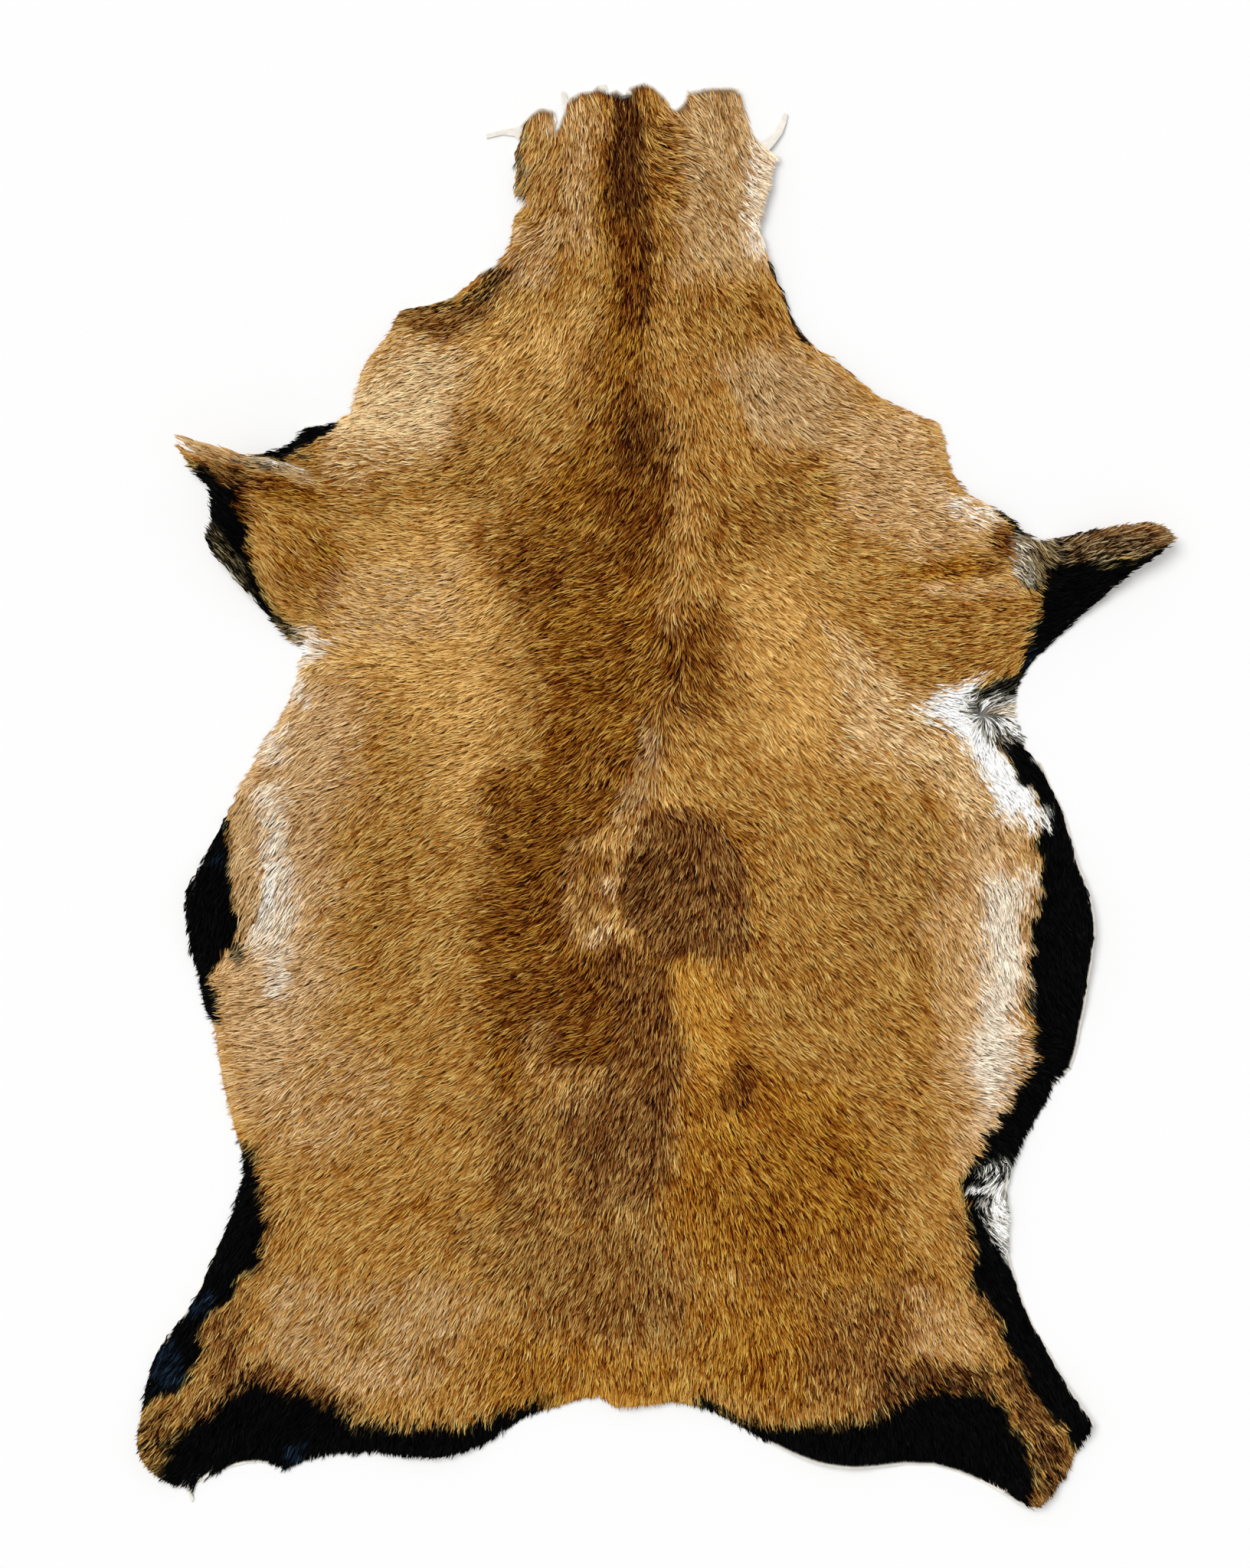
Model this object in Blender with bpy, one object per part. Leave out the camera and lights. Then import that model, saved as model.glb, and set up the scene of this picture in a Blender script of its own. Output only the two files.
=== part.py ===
"""Lambskin: one whole hide with its short coat, spread out hair side up.

The neck points to +Y and the hide lies on Z = 0. It is one closed solid: a thin skin with its
lying coat, flat underneath except where the edges, the two forelegs and a few swells lift off.
Lengths in the tables are millimetres on a hide that is TABLE_LENGTH long.
"""

import math

import bmesh
import bpy
import numpy as np
from mathutils import Vector, geometry, noise

# Driving dimensions, in metres
HIDE_LENGTH = 0.900
RIM_THICK = 0.0020
FULL_THICK = 0.0056
COAT_SLOPE_WIDTH = 0.014
RELIEF_HEIGHT = 0.0007
RELIEF_WAVE = 0.055
FINE_RELIEF_WAVE = 0.024
PARTING_DEPTH = 0.0009
PARTING_WIDTH = 0.012

# Spacing of the mesh, in metres
RIM_STEP = 0.0085
BODY_STEP = 0.0200
FOLD_STEP = 0.0085
RING_INSET = 0.0075
RING_STEP = 0.0095
FOLD_POINT_GAP = 0.0022
FOLD_RIM_GAP = 0.0018

# Raggedness of the edge
RAGGED_REACH = 0.0007
RAGGED_WAVE = 0.009

MM = 0.001
TABLE_LENGTH = 900.0
SCALE = HIDE_LENGTH / (TABLE_LENGTH * MM)

# The outline, clockwise from the left corner of the neck: x, y in millimetres
OUTLINE = {
    "neck end with its torn strips": [
        (-85, 412), (-88.5, 416), (-96, 416.5), (-106, 414.5), (-106.5, 417), (-96, 419.5),
        (-85.5, 421.5), (-78, 429.5), (-72.5, 433), (-64, 432), (-61.5, 425.5), (-64, 419.5),
        (-61, 421.5), (-57.5, 430.5), (-59, 443), (-57, 444), (-55, 438.5), (-47.5, 443.5),
        (-39.5, 445), (-36, 448), (-31, 448.5), (-29, 443.5), (-24, 445), (-19, 442), (-16, 447),
        (-6.5, 450), (-1, 447.5), (6, 441), (8, 434.5), (13, 433), (18, 436.5), (20, 445.5),
        (22, 444.5), (35.5, 446.5), (48, 446.5), (53.5, 445),
    ],
    "right of the neck": [
        (54.5, 438), (57, 427), (62.5, 416), (66.5, 410.5), (76, 418), (81.5, 430.5), (84, 429.5),
        (80.5, 417), (72, 406.5), (78, 403), (75, 397.5), (72, 382.5), (68, 367.5), (65, 358),
        (66.5, 350.5), (72.5, 334.5), (77.5, 322), (85.5, 302.5), (94.5, 287.5),
    ],
    "right shoulder": [
        (102.5, 281), (117, 271.5), (132.5, 257.5), (148.5, 246.5), (164, 240.5), (178, 235),
        (181.5, 227.5), (184, 216.5), (186, 205.5), (192, 194.5), (202, 186.5), (216, 180),
        (225.5, 174), (233, 163.5),
    ],
    "right foreleg": [
        (249.5, 162), (264, 163.5), (274.5, 166.5), (295, 169.5), (312.5, 171.5), (321, 167.5),
        (326, 161.5), (319.5, 154.5), (305.5, 144.5), (296.5, 139), (283, 126), (264, 110),
        (246, 92.5), (231, 76),
    ],
    "right of the belly": [
        (227.5, 60.5), (226.5, 52.5), (231.5, 37), (236, 25), (243.5, 20.5), (248, 10),
        (257.5, -9.5), (264.5, -37), (274.5, -66), (277, -86.5), (274.5, -105.5), (271, -130),
        (266.5, -155), (262, -172.5), (253, -180), (246, -194), (237.5, -208), (229.5, -223.5),
        (223.5, -237.5), (221.5, -248.5), (222.5, -268.5), (222.5, -289),
    ],
    "right hind leg": [
        (227, -303.5), (232, -318), (238.5, -334), (248, -349.5), (256, -365.5), (266.5, -381.5),
        (276, -395.5), (272, -404), (263.5, -416), (261.5, -423.5), (253, -435.5), (242.5, -447.5),
        (233.5, -447.5), (221.5, -441), (206.5, -433.5), (191, -426.5), (167, -421.5),
        (147.5, -422.5),
    ],
    "tail end": [
        (125.5, -424), (95, -418.5), (72.5, -408), (52, -396.5), (32, -386.5), (9, -382),
        (-7, -384), (-23.5, -385), (-35, -379), (-63, -385.5), (-81.5, -391.5), (-94, -400),
        (-112, -410.5), (-130, -416), (-157.5, -416.5), (-175.5, -414), (-200.5, -415),
        (-218.5, -418.5), (-234, -424.5), (-243, -421.5), (-250.5, -420.5), (-264.5, -422.5),
        (-284.5, -431),
    ],
    "left hind leg": [
        (-291, -435), (-290.5, -444), (-292, -445.5), (-295.5, -436), (-303.5, -434.5),
        (-318.5, -424), (-326, -408.5), (-323, -390.5), (-320, -371.5), (-312.5, -349),
        (-303, -336), (-289.5, -316.5), (-277, -288.5), (-264.5, -259.5), (-259, -233),
    ],
    "left of the belly": [
        (-263, -216), (-271.5, -183), (-276, -156.5), (-278, -143.5), (-283.5, -134),
        (-287, -114), (-291.5, -96.5), (-295, -77.5), (-295, -62.5), (-286, -44), (-277, -26.5),
        (-268.5, -11.5), (-259, 8), (-246, 32), (-234.5, 51), (-227, 68), (-223.5, 79),
        (-222, 90.5),
    ],
    "left foreleg with its split tip": [
        (-224, 93), (-236, 104.5), (-244.5, 115), (-262, 133), (-274.5, 149), (-282.5, 162.5),
        (-278, 173.5), (-279, 183.5), (-282, 197), (-288.5, 202.5), (-294, 210), (-299, 217),
        (-301, 220), (-295.5, 217), (-290.5, 212.5), (-287.5, 211), (-288, 214.5), (-292.5, 220),
        (-298, 223), (-301.5, 226), (-297, 226), (-286.5, 222), (-276, 219), (-263.5, 215.5),
        (-252, 212), (-242, 215), (-225.5, 224), (-220.5, 232.5), (-203.5, 234),
    ],
    "left shoulder": [
        (-192, 238.5), (-187.5, 256), (-182.5, 271.5), (-167, 291), (-161, 305), (-142, 309.5),
        (-118.5, 319), (-110, 330), (-94.5, 338), (-91.5, 344.5), (-88.5, 363), (-80.5, 372.5),
        (-80, 376), (-87.5, 377.5), (-87.5, 386), (-86.5, 394.5), (-89, 405),
    ],
}

# Places where the hide lifts off the floor, as smooth mounds whose middle may lie past the edge:
# name, x, y, reach along, reach across, turn in degrees, height
LIFTS = [
    ("right edge of the neck", 88, 362, 75, 48, 92, 10),
    ("corner of the neck", 58, 455, 45, 32, -20, 6),
    ("curled flap of the neck", -76, 440, 34, 24, 30, 6),
    ("left edge of the neck", -102, 372, 50, 32, 90, 5),
    ("right shoulder edge", 128, 274, 70, 34, -38, 6),
    ("left shoulder edge", -196, 288, 70, 38, 55, 5),
    ("right foreleg rise", 335, 170, 128, 72, 27, 11),
    ("right foreleg root swell", 196, 168, 62, 34, 8, 6),
    ("right armpit swell", 208, 102, 48, 34, 50, 5),
    ("right belly edge", 292, -84, 140, 48, 92, 10),
    ("right groin", 238, -262, 62, 36, 90, 7),
    ("right hind side", 292, -385, 74, 54, 122, 10),
    ("right hind end", 244, -462, 66, 44, 28, 9),
    ("tail edge right", 120, -438, 92, 36, -14, 7),
    ("tail edge middle", -8, -400, 74, 34, 0, 8),
    ("tail edge left", -140, -432, 105, 36, 4, 6),
    ("left hind end", -334, -426, 62, 48, 60, 6),
    ("left hind side", -312, -318, 74, 32, 62, 5),
    ("left belly edge", -310, -70, 92, 38, 88, 6),
    ("left foreleg outer edge", -290, 140, 84, 56, -46, 13),
    ("left foreleg panel swell", -236, 150, 40, 30, 60, 5),
    ("left chest swell", -168, 150, 70, 44, 20, 4),
    ("left flank swell", -150, 40, 90, 60, 35, 4),
    ("right flank swell", 120, 10, 95, 60, -35, 4),
    ("neck ripple", 46, 318, 34, 16, -25, 4),
]

# Folds: a crest of x, y, height and a profile of distance across it (left of the crest's run is
# positive) with the share of the crest's height there
FOLDS = {
    "left foreleg fold": {
        "crest": [
            (-301, 226, 15), (-276, 218.5, 21), (-252, 211.5, 23), (-234, 205.5, 20),
            (-213.5, 196.5, 13), (-190, 189, 7), (-160, 183, 0),
        ],
        "profile": [
            (-66, 0.0), (-46, 0.22), (-32, 0.30), (-19, 0.26), (-11, 0.62), (-4, 0.97),
            (0, 1.0), (2.5, 0.90), (6, 0.42), (9, 0.16), (14, 0.06), (22, 0.0),
        ],
    },
    "right foreleg arch": {
        "crest": [(226, 108, 0), (250, 132, 4), (285, 151, 6), (312, 161, 6), (325, 162, 4)],
        "profile": [
            (-26, 0.0), (-15, 0.35), (-8, 0.8), (0, 1.0), (8, 0.8), (15, 0.35), (26, 0.0),
        ],
    },
}

# The line where the coat parts along the back, round the whorl: x, y in millimetres
PARTINGS = {
    "neck and back": [(7, 299), (12, 231), (17, 164), (5, 120), (22, 67), (9, 62), (-6, 32)],
    "left of the whorl": [(-6, 32), (-30, -5), (-50, -43), (-56, -69), (-52, -95), (-30, -105)],
    "right of the whorl": [(-6, 32), (35, -11), (60, -49), (58, -75), (40, -98), (9, -105)],
    "rump": [(-30, -105), (9, -105), (7, -126), (17, -174), (2, -223)],
}


def smoothstep(share):
    """Eases a share from 0 to 1, held at both ends."""
    share = min(max(share, 0.0), 1.0)
    return share * share * (3.0 - 2.0 * share)


def rounded_outline():
    """The outline as points RIM_STEP apart at most, rounded except at sharp corners."""
    knots = [Vector(point) * MM * SCALE for stretch in OUTLINE.values() for point in stretch]
    count = len(knots)
    handles = []
    for i, knot in enumerate(knots):
        before = (knot - knots[i - 1]).normalized()
        after = (knots[(i + 1) % count] - knot).normalized()
        roundness = max(0.0, before.dot(after))
        handles.append((before + after).normalized() * roundness / 3.0)
    points = []
    for i, knot in enumerate(knots):
        j = (i + 1) % count
        length = (knots[j] - knot).length
        steps = max(1, round(length / RIM_STEP))
        arc = geometry.interpolate_bezier(
            knot.to_3d(),
            (knot + handles[i] * length).to_3d(),
            (knots[j] - handles[j] * length).to_3d(),
            knots[j].to_3d(),
            steps + 1,
        )
        points += [point.to_2d() for point in arc[:-1]]
    return points


def ragged(points):
    """The outline with its edge moved in and out a little, as a coat's edge is."""
    moved = []
    for i, point in enumerate(points):
        along = points[(i + 1) % len(points)] - points[i - 1]
        outward = Vector((-along.y, along.x)).normalized()
        reach = noise.noise(point.to_3d() / RAGGED_WAVE) * RAGGED_REACH
        moved.append(point + outward * reach)
    return moved


def distances_to(points, line, closed):
    """The distance of each point from a line of points."""
    start = np.array([tuple(point) for point in line])
    end = np.roll(start, -1, axis=0)
    if not closed:
        start, end = start[:-1], end[:-1]
    run = end - start
    length_squared = np.maximum((run**2).sum(axis=1), 1e-18)
    nearest = []
    for point in points:
        away = np.array(tuple(point)) - start
        share = np.clip((away * run).sum(axis=1) / length_squared, 0.0, 1.0)
        nearest.append(np.linalg.norm(away - run * share[:, None], axis=1).min())
    return np.array(nearest)


def is_inside(point, rim):
    """Whether a point lies inside the rim, by counting the edges to its right."""
    inside = False
    for i, corner in enumerate(rim):
        other = rim[i - 1]
        if (corner.y > point.y) != (other.y > point.y):
            cross_x = corner.x + (point.y - corner.y) / (other.y - corner.y) * (other.x - corner.x)
            inside ^= point.x < cross_x
    return inside


def mound_height(point, row):
    """The height of one smooth mound at a point, both in millimetres."""
    _, x, y, along, across, turn, height = row
    away = point - Vector((x, y))
    angle = math.radians(turn)
    u = away.x * math.cos(angle) + away.y * math.sin(angle)
    v = away.y * math.cos(angle) - away.x * math.sin(angle)
    reach = (u / along) ** 2 + (v / across) ** 2
    return height * (1.0 - reach) ** 2 if reach < 1.0 else 0.0


def table_value(rows, key):
    """The eased value at key between the rows of a table of key and value."""
    if key <= rows[0][0]:
        return rows[0][1]
    for (low, low_value), (high, high_value) in zip(rows, rows[1:]):
        if key <= high:
            return low_value + (high_value - low_value) * smoothstep((key - low) / (high - low))
    return rows[-1][1]


def fold_height(point, fold):
    """The height of one fold at a point, both in millimetres."""
    best_distance, best_side, best_height = math.inf, 0.0, 0.0
    for (x0, y0, low), (x1, y1, high) in zip(fold["crest"], fold["crest"][1:]):
        start, run = Vector((x0, y0)), Vector((x1 - x0, y1 - y0))
        away = point - start
        share = min(max(away.dot(run) / run.length_squared, 0.0), 1.0)
        distance = (away - run * share).length
        if distance < best_distance:
            best_distance = distance
            best_side = 1.0 if run.cross(away) >= 0.0 else -1.0
            best_height = low + (high - low) * share
    return best_height * table_value(fold["profile"], best_side * best_distance)


def floor_lift(point):
    """How far the underside is above the floor, in metres."""
    place = point / (MM * SCALE)
    height = sum(mound_height(place, row) for row in LIFTS)
    height += sum(fold_height(place, fold) for fold in FOLDS.values())
    return height * MM * SCALE


def parting_share(points):
    """1 on a parting of the coat, easing to 0 at half its width."""
    nearest = np.full(len(points), np.inf)
    for line in PARTINGS.values():
        line = [Vector(knot) * MM * SCALE for knot in line]
        nearest = np.minimum(nearest, distances_to(points, line, closed=False))
    return [1.0 - smoothstep(distance / (PARTING_WIDTH / 2)) for distance in nearest]


def thicknesses(points, rim):
    """The thickness of skin and coat at each point: thin at the rim, uneven inside."""
    found = []
    for point, inset, parting in zip(points, distances_to(points, rim, True), parting_share(points)):
        share = smoothstep(inset / COAT_SLOPE_WIDTH)
        relief = noise.noise(point.to_3d() / RELIEF_WAVE) * RELIEF_HEIGHT
        relief += noise.noise(point.to_3d() / FINE_RELIEF_WAVE) * RELIEF_HEIGHT / 2
        full = FULL_THICK + relief - parting * PARTING_DEPTH
        found.append(RIM_THICK + (full - RIM_THICK) * share)
    return found


def ring_points(rim):
    """Points a little inside the rim, where the coat's slope bends."""
    found = []
    for i, point in enumerate(rim):
        along = rim[(i + 1) % len(rim)] - rim[i - 1]
        found.append(point + Vector((along.y, -along.x)).normalized() * RING_INSET)
    return found


def fold_points(fold):
    """Points in rows along a fold, one row for each bend of its profile."""
    found = []
    for (x0, y0, _), (x1, y1, _) in zip(fold["crest"], fold["crest"][1:]):
        start, end = Vector((x0, y0)) * MM * SCALE, Vector((x1, y1)) * MM * SCALE
        sideways = (end - start).normalized().orthogonal()
        steps = max(1, round((end - start).length / FOLD_STEP))
        for step in range(steps):
            on_crest = start.lerp(end, step / steps)
            found += [on_crest + sideways * across * MM * SCALE for across, _ in fold["profile"]]
    return found


def body_points(rim):
    """A staggered grid of points over the whole hide."""
    xs, ys = [point.x for point in rim], [point.y for point in rim]
    row_step = BODY_STEP * math.sqrt(3) / 2
    found = []
    for row in range(math.ceil((max(ys) - min(ys)) / row_step)):
        shift = BODY_STEP / 2 * (row % 2)
        for column in range(math.ceil((max(xs) - min(xs)) / BODY_STEP)):
            found.append(Vector((min(xs) + shift + column * BODY_STEP, min(ys) + row * row_step)))
    return found


def spaced(candidates, rim, taken, gap, rim_gap):
    """Adds to taken the candidates inside the rim that are rim_gap from it and gap from others."""
    for point, inset in zip(candidates, distances_to(candidates, rim, True)):
        clear = all((point - other).length_squared > gap * gap for other in taken)
        if inset > rim_gap and clear and is_inside(point, rim):
            taken.append(point)


def flat_mesh(rim):
    """A flat mesh of the outline, finer along the folds and the rim."""
    inner = []
    for fold in FOLDS.values():
        spaced(fold_points(fold), rim, inner, FOLD_POINT_GAP, FOLD_RIM_GAP)
    spaced(ring_points(rim), rim, inner, RING_STEP, RING_INSET * 0.8)
    spaced(body_points(rim), rim, inner, BODY_STEP * 0.6, BODY_STEP * 0.5)
    edges = [(i, (i + 1) % len(rim)) for i in range(len(rim))]
    points, _, faces, *_ = geometry.delaunay_2d_cdt(rim + inner, edges, [], 1, 1e-6)
    mesh = bpy.data.meshes.new("hide")
    mesh.from_pydata([point.to_3d() for point in points], [], faces)
    return mesh


def raise_solid(mesh, rim):
    """Turns the flat mesh into one closed solid with its lifts, folds and thickness."""
    shape = bmesh.new()
    shape.from_mesh(mesh)
    places = [vert.co.to_2d() for vert in shape.verts]
    thick = shape.verts.layers.float.new("thick")
    for vert, place, value in zip(shape.verts, places, thicknesses(places, rim)):
        vert[thick] = value
        vert.co.z = floor_lift(place)
    raised = bmesh.ops.extrude_face_region(shape, geom=shape.faces[:], use_keep_orig=True)
    for item in raised["geom"]:
        if isinstance(item, bmesh.types.BMVert):
            item.co.z += item[thick]
    shape.verts.layers.float.remove(thick)
    bmesh.ops.recalc_face_normals(shape, faces=shape.faces[:])
    places = np.array([tuple(vert.co.xy) for vert in shape.verts])
    middle = Vector((places.min(axis=0) + places.max(axis=0)) / 2)
    bmesh.ops.translate(shape, verts=shape.verts[:], vec=-middle.to_3d())
    shape.to_mesh(mesh)
    shape.free()


def coat_material():
    """The mean colour of the short tan coat."""
    material = bpy.data.materials.new("coat")
    material.use_nodes = True
    shader = material.node_tree.nodes["Principled BSDF"]
    shader.inputs["Base Color"].default_value = (0.38, 0.21, 0.08, 1.0)
    shader.inputs["Roughness"].default_value = 0.85
    shader.inputs["Metallic"].default_value = 0.0
    return material


def main():
    for thing in list(bpy.data.objects):
        bpy.data.objects.remove(thing)
    collection = bpy.data.collections.new("lambskin")
    bpy.context.scene.collection.children.link(collection)
    rim = ragged(rounded_outline())
    mesh = flat_mesh(rim)
    raise_solid(mesh, rim)
    mesh.materials.append(coat_material())
    collection.objects.link(bpy.data.objects.new("hide", mesh))


main()
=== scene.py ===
"""Looks for the lambskin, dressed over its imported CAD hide.

The hide is built as the real one is: a thin tanned skin, and rooted in it a short coat of hair.
Each lock of hair is one small bent blade. FLOW says which way the coat lies from place to place,
COLOURS and PATCHES say how it is coloured. Their places are pixels of the photograph.
"""

import math

import bmesh
import bpy
import numpy as np
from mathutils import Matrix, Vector
from mathutils.bvhtree import BVHTree
from mathutils.kdtree import KDTree


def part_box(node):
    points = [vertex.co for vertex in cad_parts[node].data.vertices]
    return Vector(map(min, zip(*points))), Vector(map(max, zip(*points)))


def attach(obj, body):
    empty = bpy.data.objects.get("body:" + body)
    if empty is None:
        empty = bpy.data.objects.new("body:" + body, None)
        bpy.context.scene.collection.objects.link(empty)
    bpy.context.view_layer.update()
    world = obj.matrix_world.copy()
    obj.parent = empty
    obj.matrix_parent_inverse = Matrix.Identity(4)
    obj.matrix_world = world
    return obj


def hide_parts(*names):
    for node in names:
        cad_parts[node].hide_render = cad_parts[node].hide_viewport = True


# The photograph's scale: metres a pixel, and the pixel over the middle of the hide
PIXEL = 0.000483
MIDDLE_PIXEL = (855.0, 1036.6)
PHOTO_SIZE = (1632, 2048)

# Lengths in metres. The map of the hide is a grid, and noise covers a square of floor.
CAMERA_HEIGHT = 2.6
SKIN_THICK = 0.0014
GRID_STEP = 0.0015
GRID_MARGIN = 0.015
OVERHANG_SINK = 0.0006
RIM_POINT_GAP = 0.0006
PLUMB_START = 0.2
NOISE_REACH = 0.7

# The coat: how many locks, the length and width of one, and how near the rim it may be rooted
LOCKS = 225_000
LOCK_LENGTH = (0.0075, 0.0125)
LOCK_WIDTH = (0.0007, 0.0011)
ROOT_INSET = 0.0004

# Clumps: their size, how ragged their borders are, how much longer or shorter the hair of one
# can be, and the greatest share of the way that tips are drawn together
CLUMP_SIZE = 0.0034
CLUMP_RAGGED = 0.0022
CLUMP_LENGTH = (0.85, 1.15)
CLUMP_MEETING = 0.3

# How far tips reach beyond the rim: mostly, at most, and where the hair stops short of it
TIP_REACH = 0.0008
MOST_TIP_REACH = 0.0035
SHORN_REACH = -0.0015

# How the locks vary: in angle and roll in radians, in height over the lie of the coat, singly,
# over small swells (RELIEF) and by clumps, and in how far a lock bows and waves sideways, by
# itself and together with those around it
ANGLE_SPREAD = 0.12
ROLL_SPREAD = 0.5
LIFT = (-0.0011, 0.0003)
RELIEF = 0.6
RELIEF_LIFT = 0.0007
CLUMP_LIFT = 0.0004
LEAST_HEIGHT = 0.0002
BOW, SHARED_BOW = 0.0004, 0.0008
WAVE, SHARED_WAVE = 0.0002, 0.0005

# From how far along it a lock is lifted in full, and the coat's depth under which it lifts less
FULL_LIFT_ALONG = 0.35
FULL_LIFT_DEPTH = 0.003
LEAST_LIFT_SHARE = 0.25

# A lock is a small tilted blade with a bend or two. Of each of its six corners: how far along it,
# how far to its side in half widths, and how light it is there. Its root is dark, its tip light:
# partly the hair's own colour, partly painted shade deep in the coat and painted light on the
# tips.
# The lock takes the colour of the patch that COLOUR_CORNER lies on.
LOCK_CORNERS = np.array([
    (0.00, 0.0, 0.50),
    (0.35, -1.0, 0.72),
    (0.35, 1.0, 0.72),
    (0.75, -0.8, 1.00),
    (0.75, 0.8, 1.00),
    (1.00, 0.0, 1.15),
])
LOCK_FACES = np.array([(0, 1, 2), (1, 3, 4), (1, 4, 2), (3, 5, 4)])
COLOUR_CORNER = 3

# Hair shades one another, so its own colour is lighter than the coat looks
COAT_GAIN = 1.36
# How fast pigment takes red, green and blue away in a lock darker than its base colour, and how
# fast it gives them back in a lighter one, painted shade and light included. Hair with less
# pigment than NEUTRAL_PIGMENT only turns greyer, and with PIGMENT_SPAN more it takes these in
# full.
WARM_DARKS = (0.78, 1.0, 1.45)
WARM_LIGHTS = (0.90, 1.0, 0.90)
NEUTRAL_PIGMENT = 0.4
PIGMENT_SPAN = 1.2
# The share of its base colour's pigment that the lightest lock keeps, and the pigment that pale
# hair is shaded by in place of its own
LEAST_PIGMENT = 0.4
PALE_PIGMENT = 0.9
# How lightness differs (in logarithms): from a lock's low edge to its high one, as painted shade
# and light;
# from lock to lock and from clump to clump; over two lengths of swell, the first as painted light
# on the swells and shade in their hollows, the second the coat's own tone; and for each metre that
# a lock lies higher, as painted light on the higher locks and shade on the lower
EDGE_SHADE = 0.52
LOCK_SPREAD = 0.46
CLUMP_SPREAD = 0.04
SWELL_SHADE = 0.10
BROAD_SPREAD = 0.09
LIFT_SHADE = 200.0
# How fast those differences grow as the coat gets darker, and their range, 1 being for tan
CONTRAST_GROWTH = 1.7
CONTRAST_RANGE = (0.7, 3.6)
# Some locks lie on top of the rest: their share, how far they are lifted, how much lighter they
# are (painted light on the top of the coat) and how wide beside the others
TOP_SHARE = 0.14
TOP_LIFT = 0.0010
TOP_SHADE = 0.58
TOP_WIDTH = 0.75

# How ragged a patch's border is in pixels, broadly and finely, the soft edges that take these in
# full, and how sharply the locks there fall on one side or the other
BROAD_RAGGED, BROAD_EDGE = 16.0, 40.0
FINE_RAGGED, FINE_EDGE = 7.0, 12.0
MIX_SHARPNESS = 5.0

# The leather's colour, how dark the hair roots on it are (partly their own colour, partly painted
# shade in the gaps between locks), and how far inside the rim they start
LEATHER = (232, 226, 214)
ROOT_TONE_AND_SHADE = 0.40
ROOTS_START = 0.0008
ROOTS_FADE = 0.002

# The light falls from the upper left of the photograph
FLOOR_GREY = 0.872
SKY_STRENGTH = 0.60
SUN_STRENGTH = 1.9
SUN_DEGREES = 36
SUN_FROM = (-0.38, 0.36, 1.0)

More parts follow.
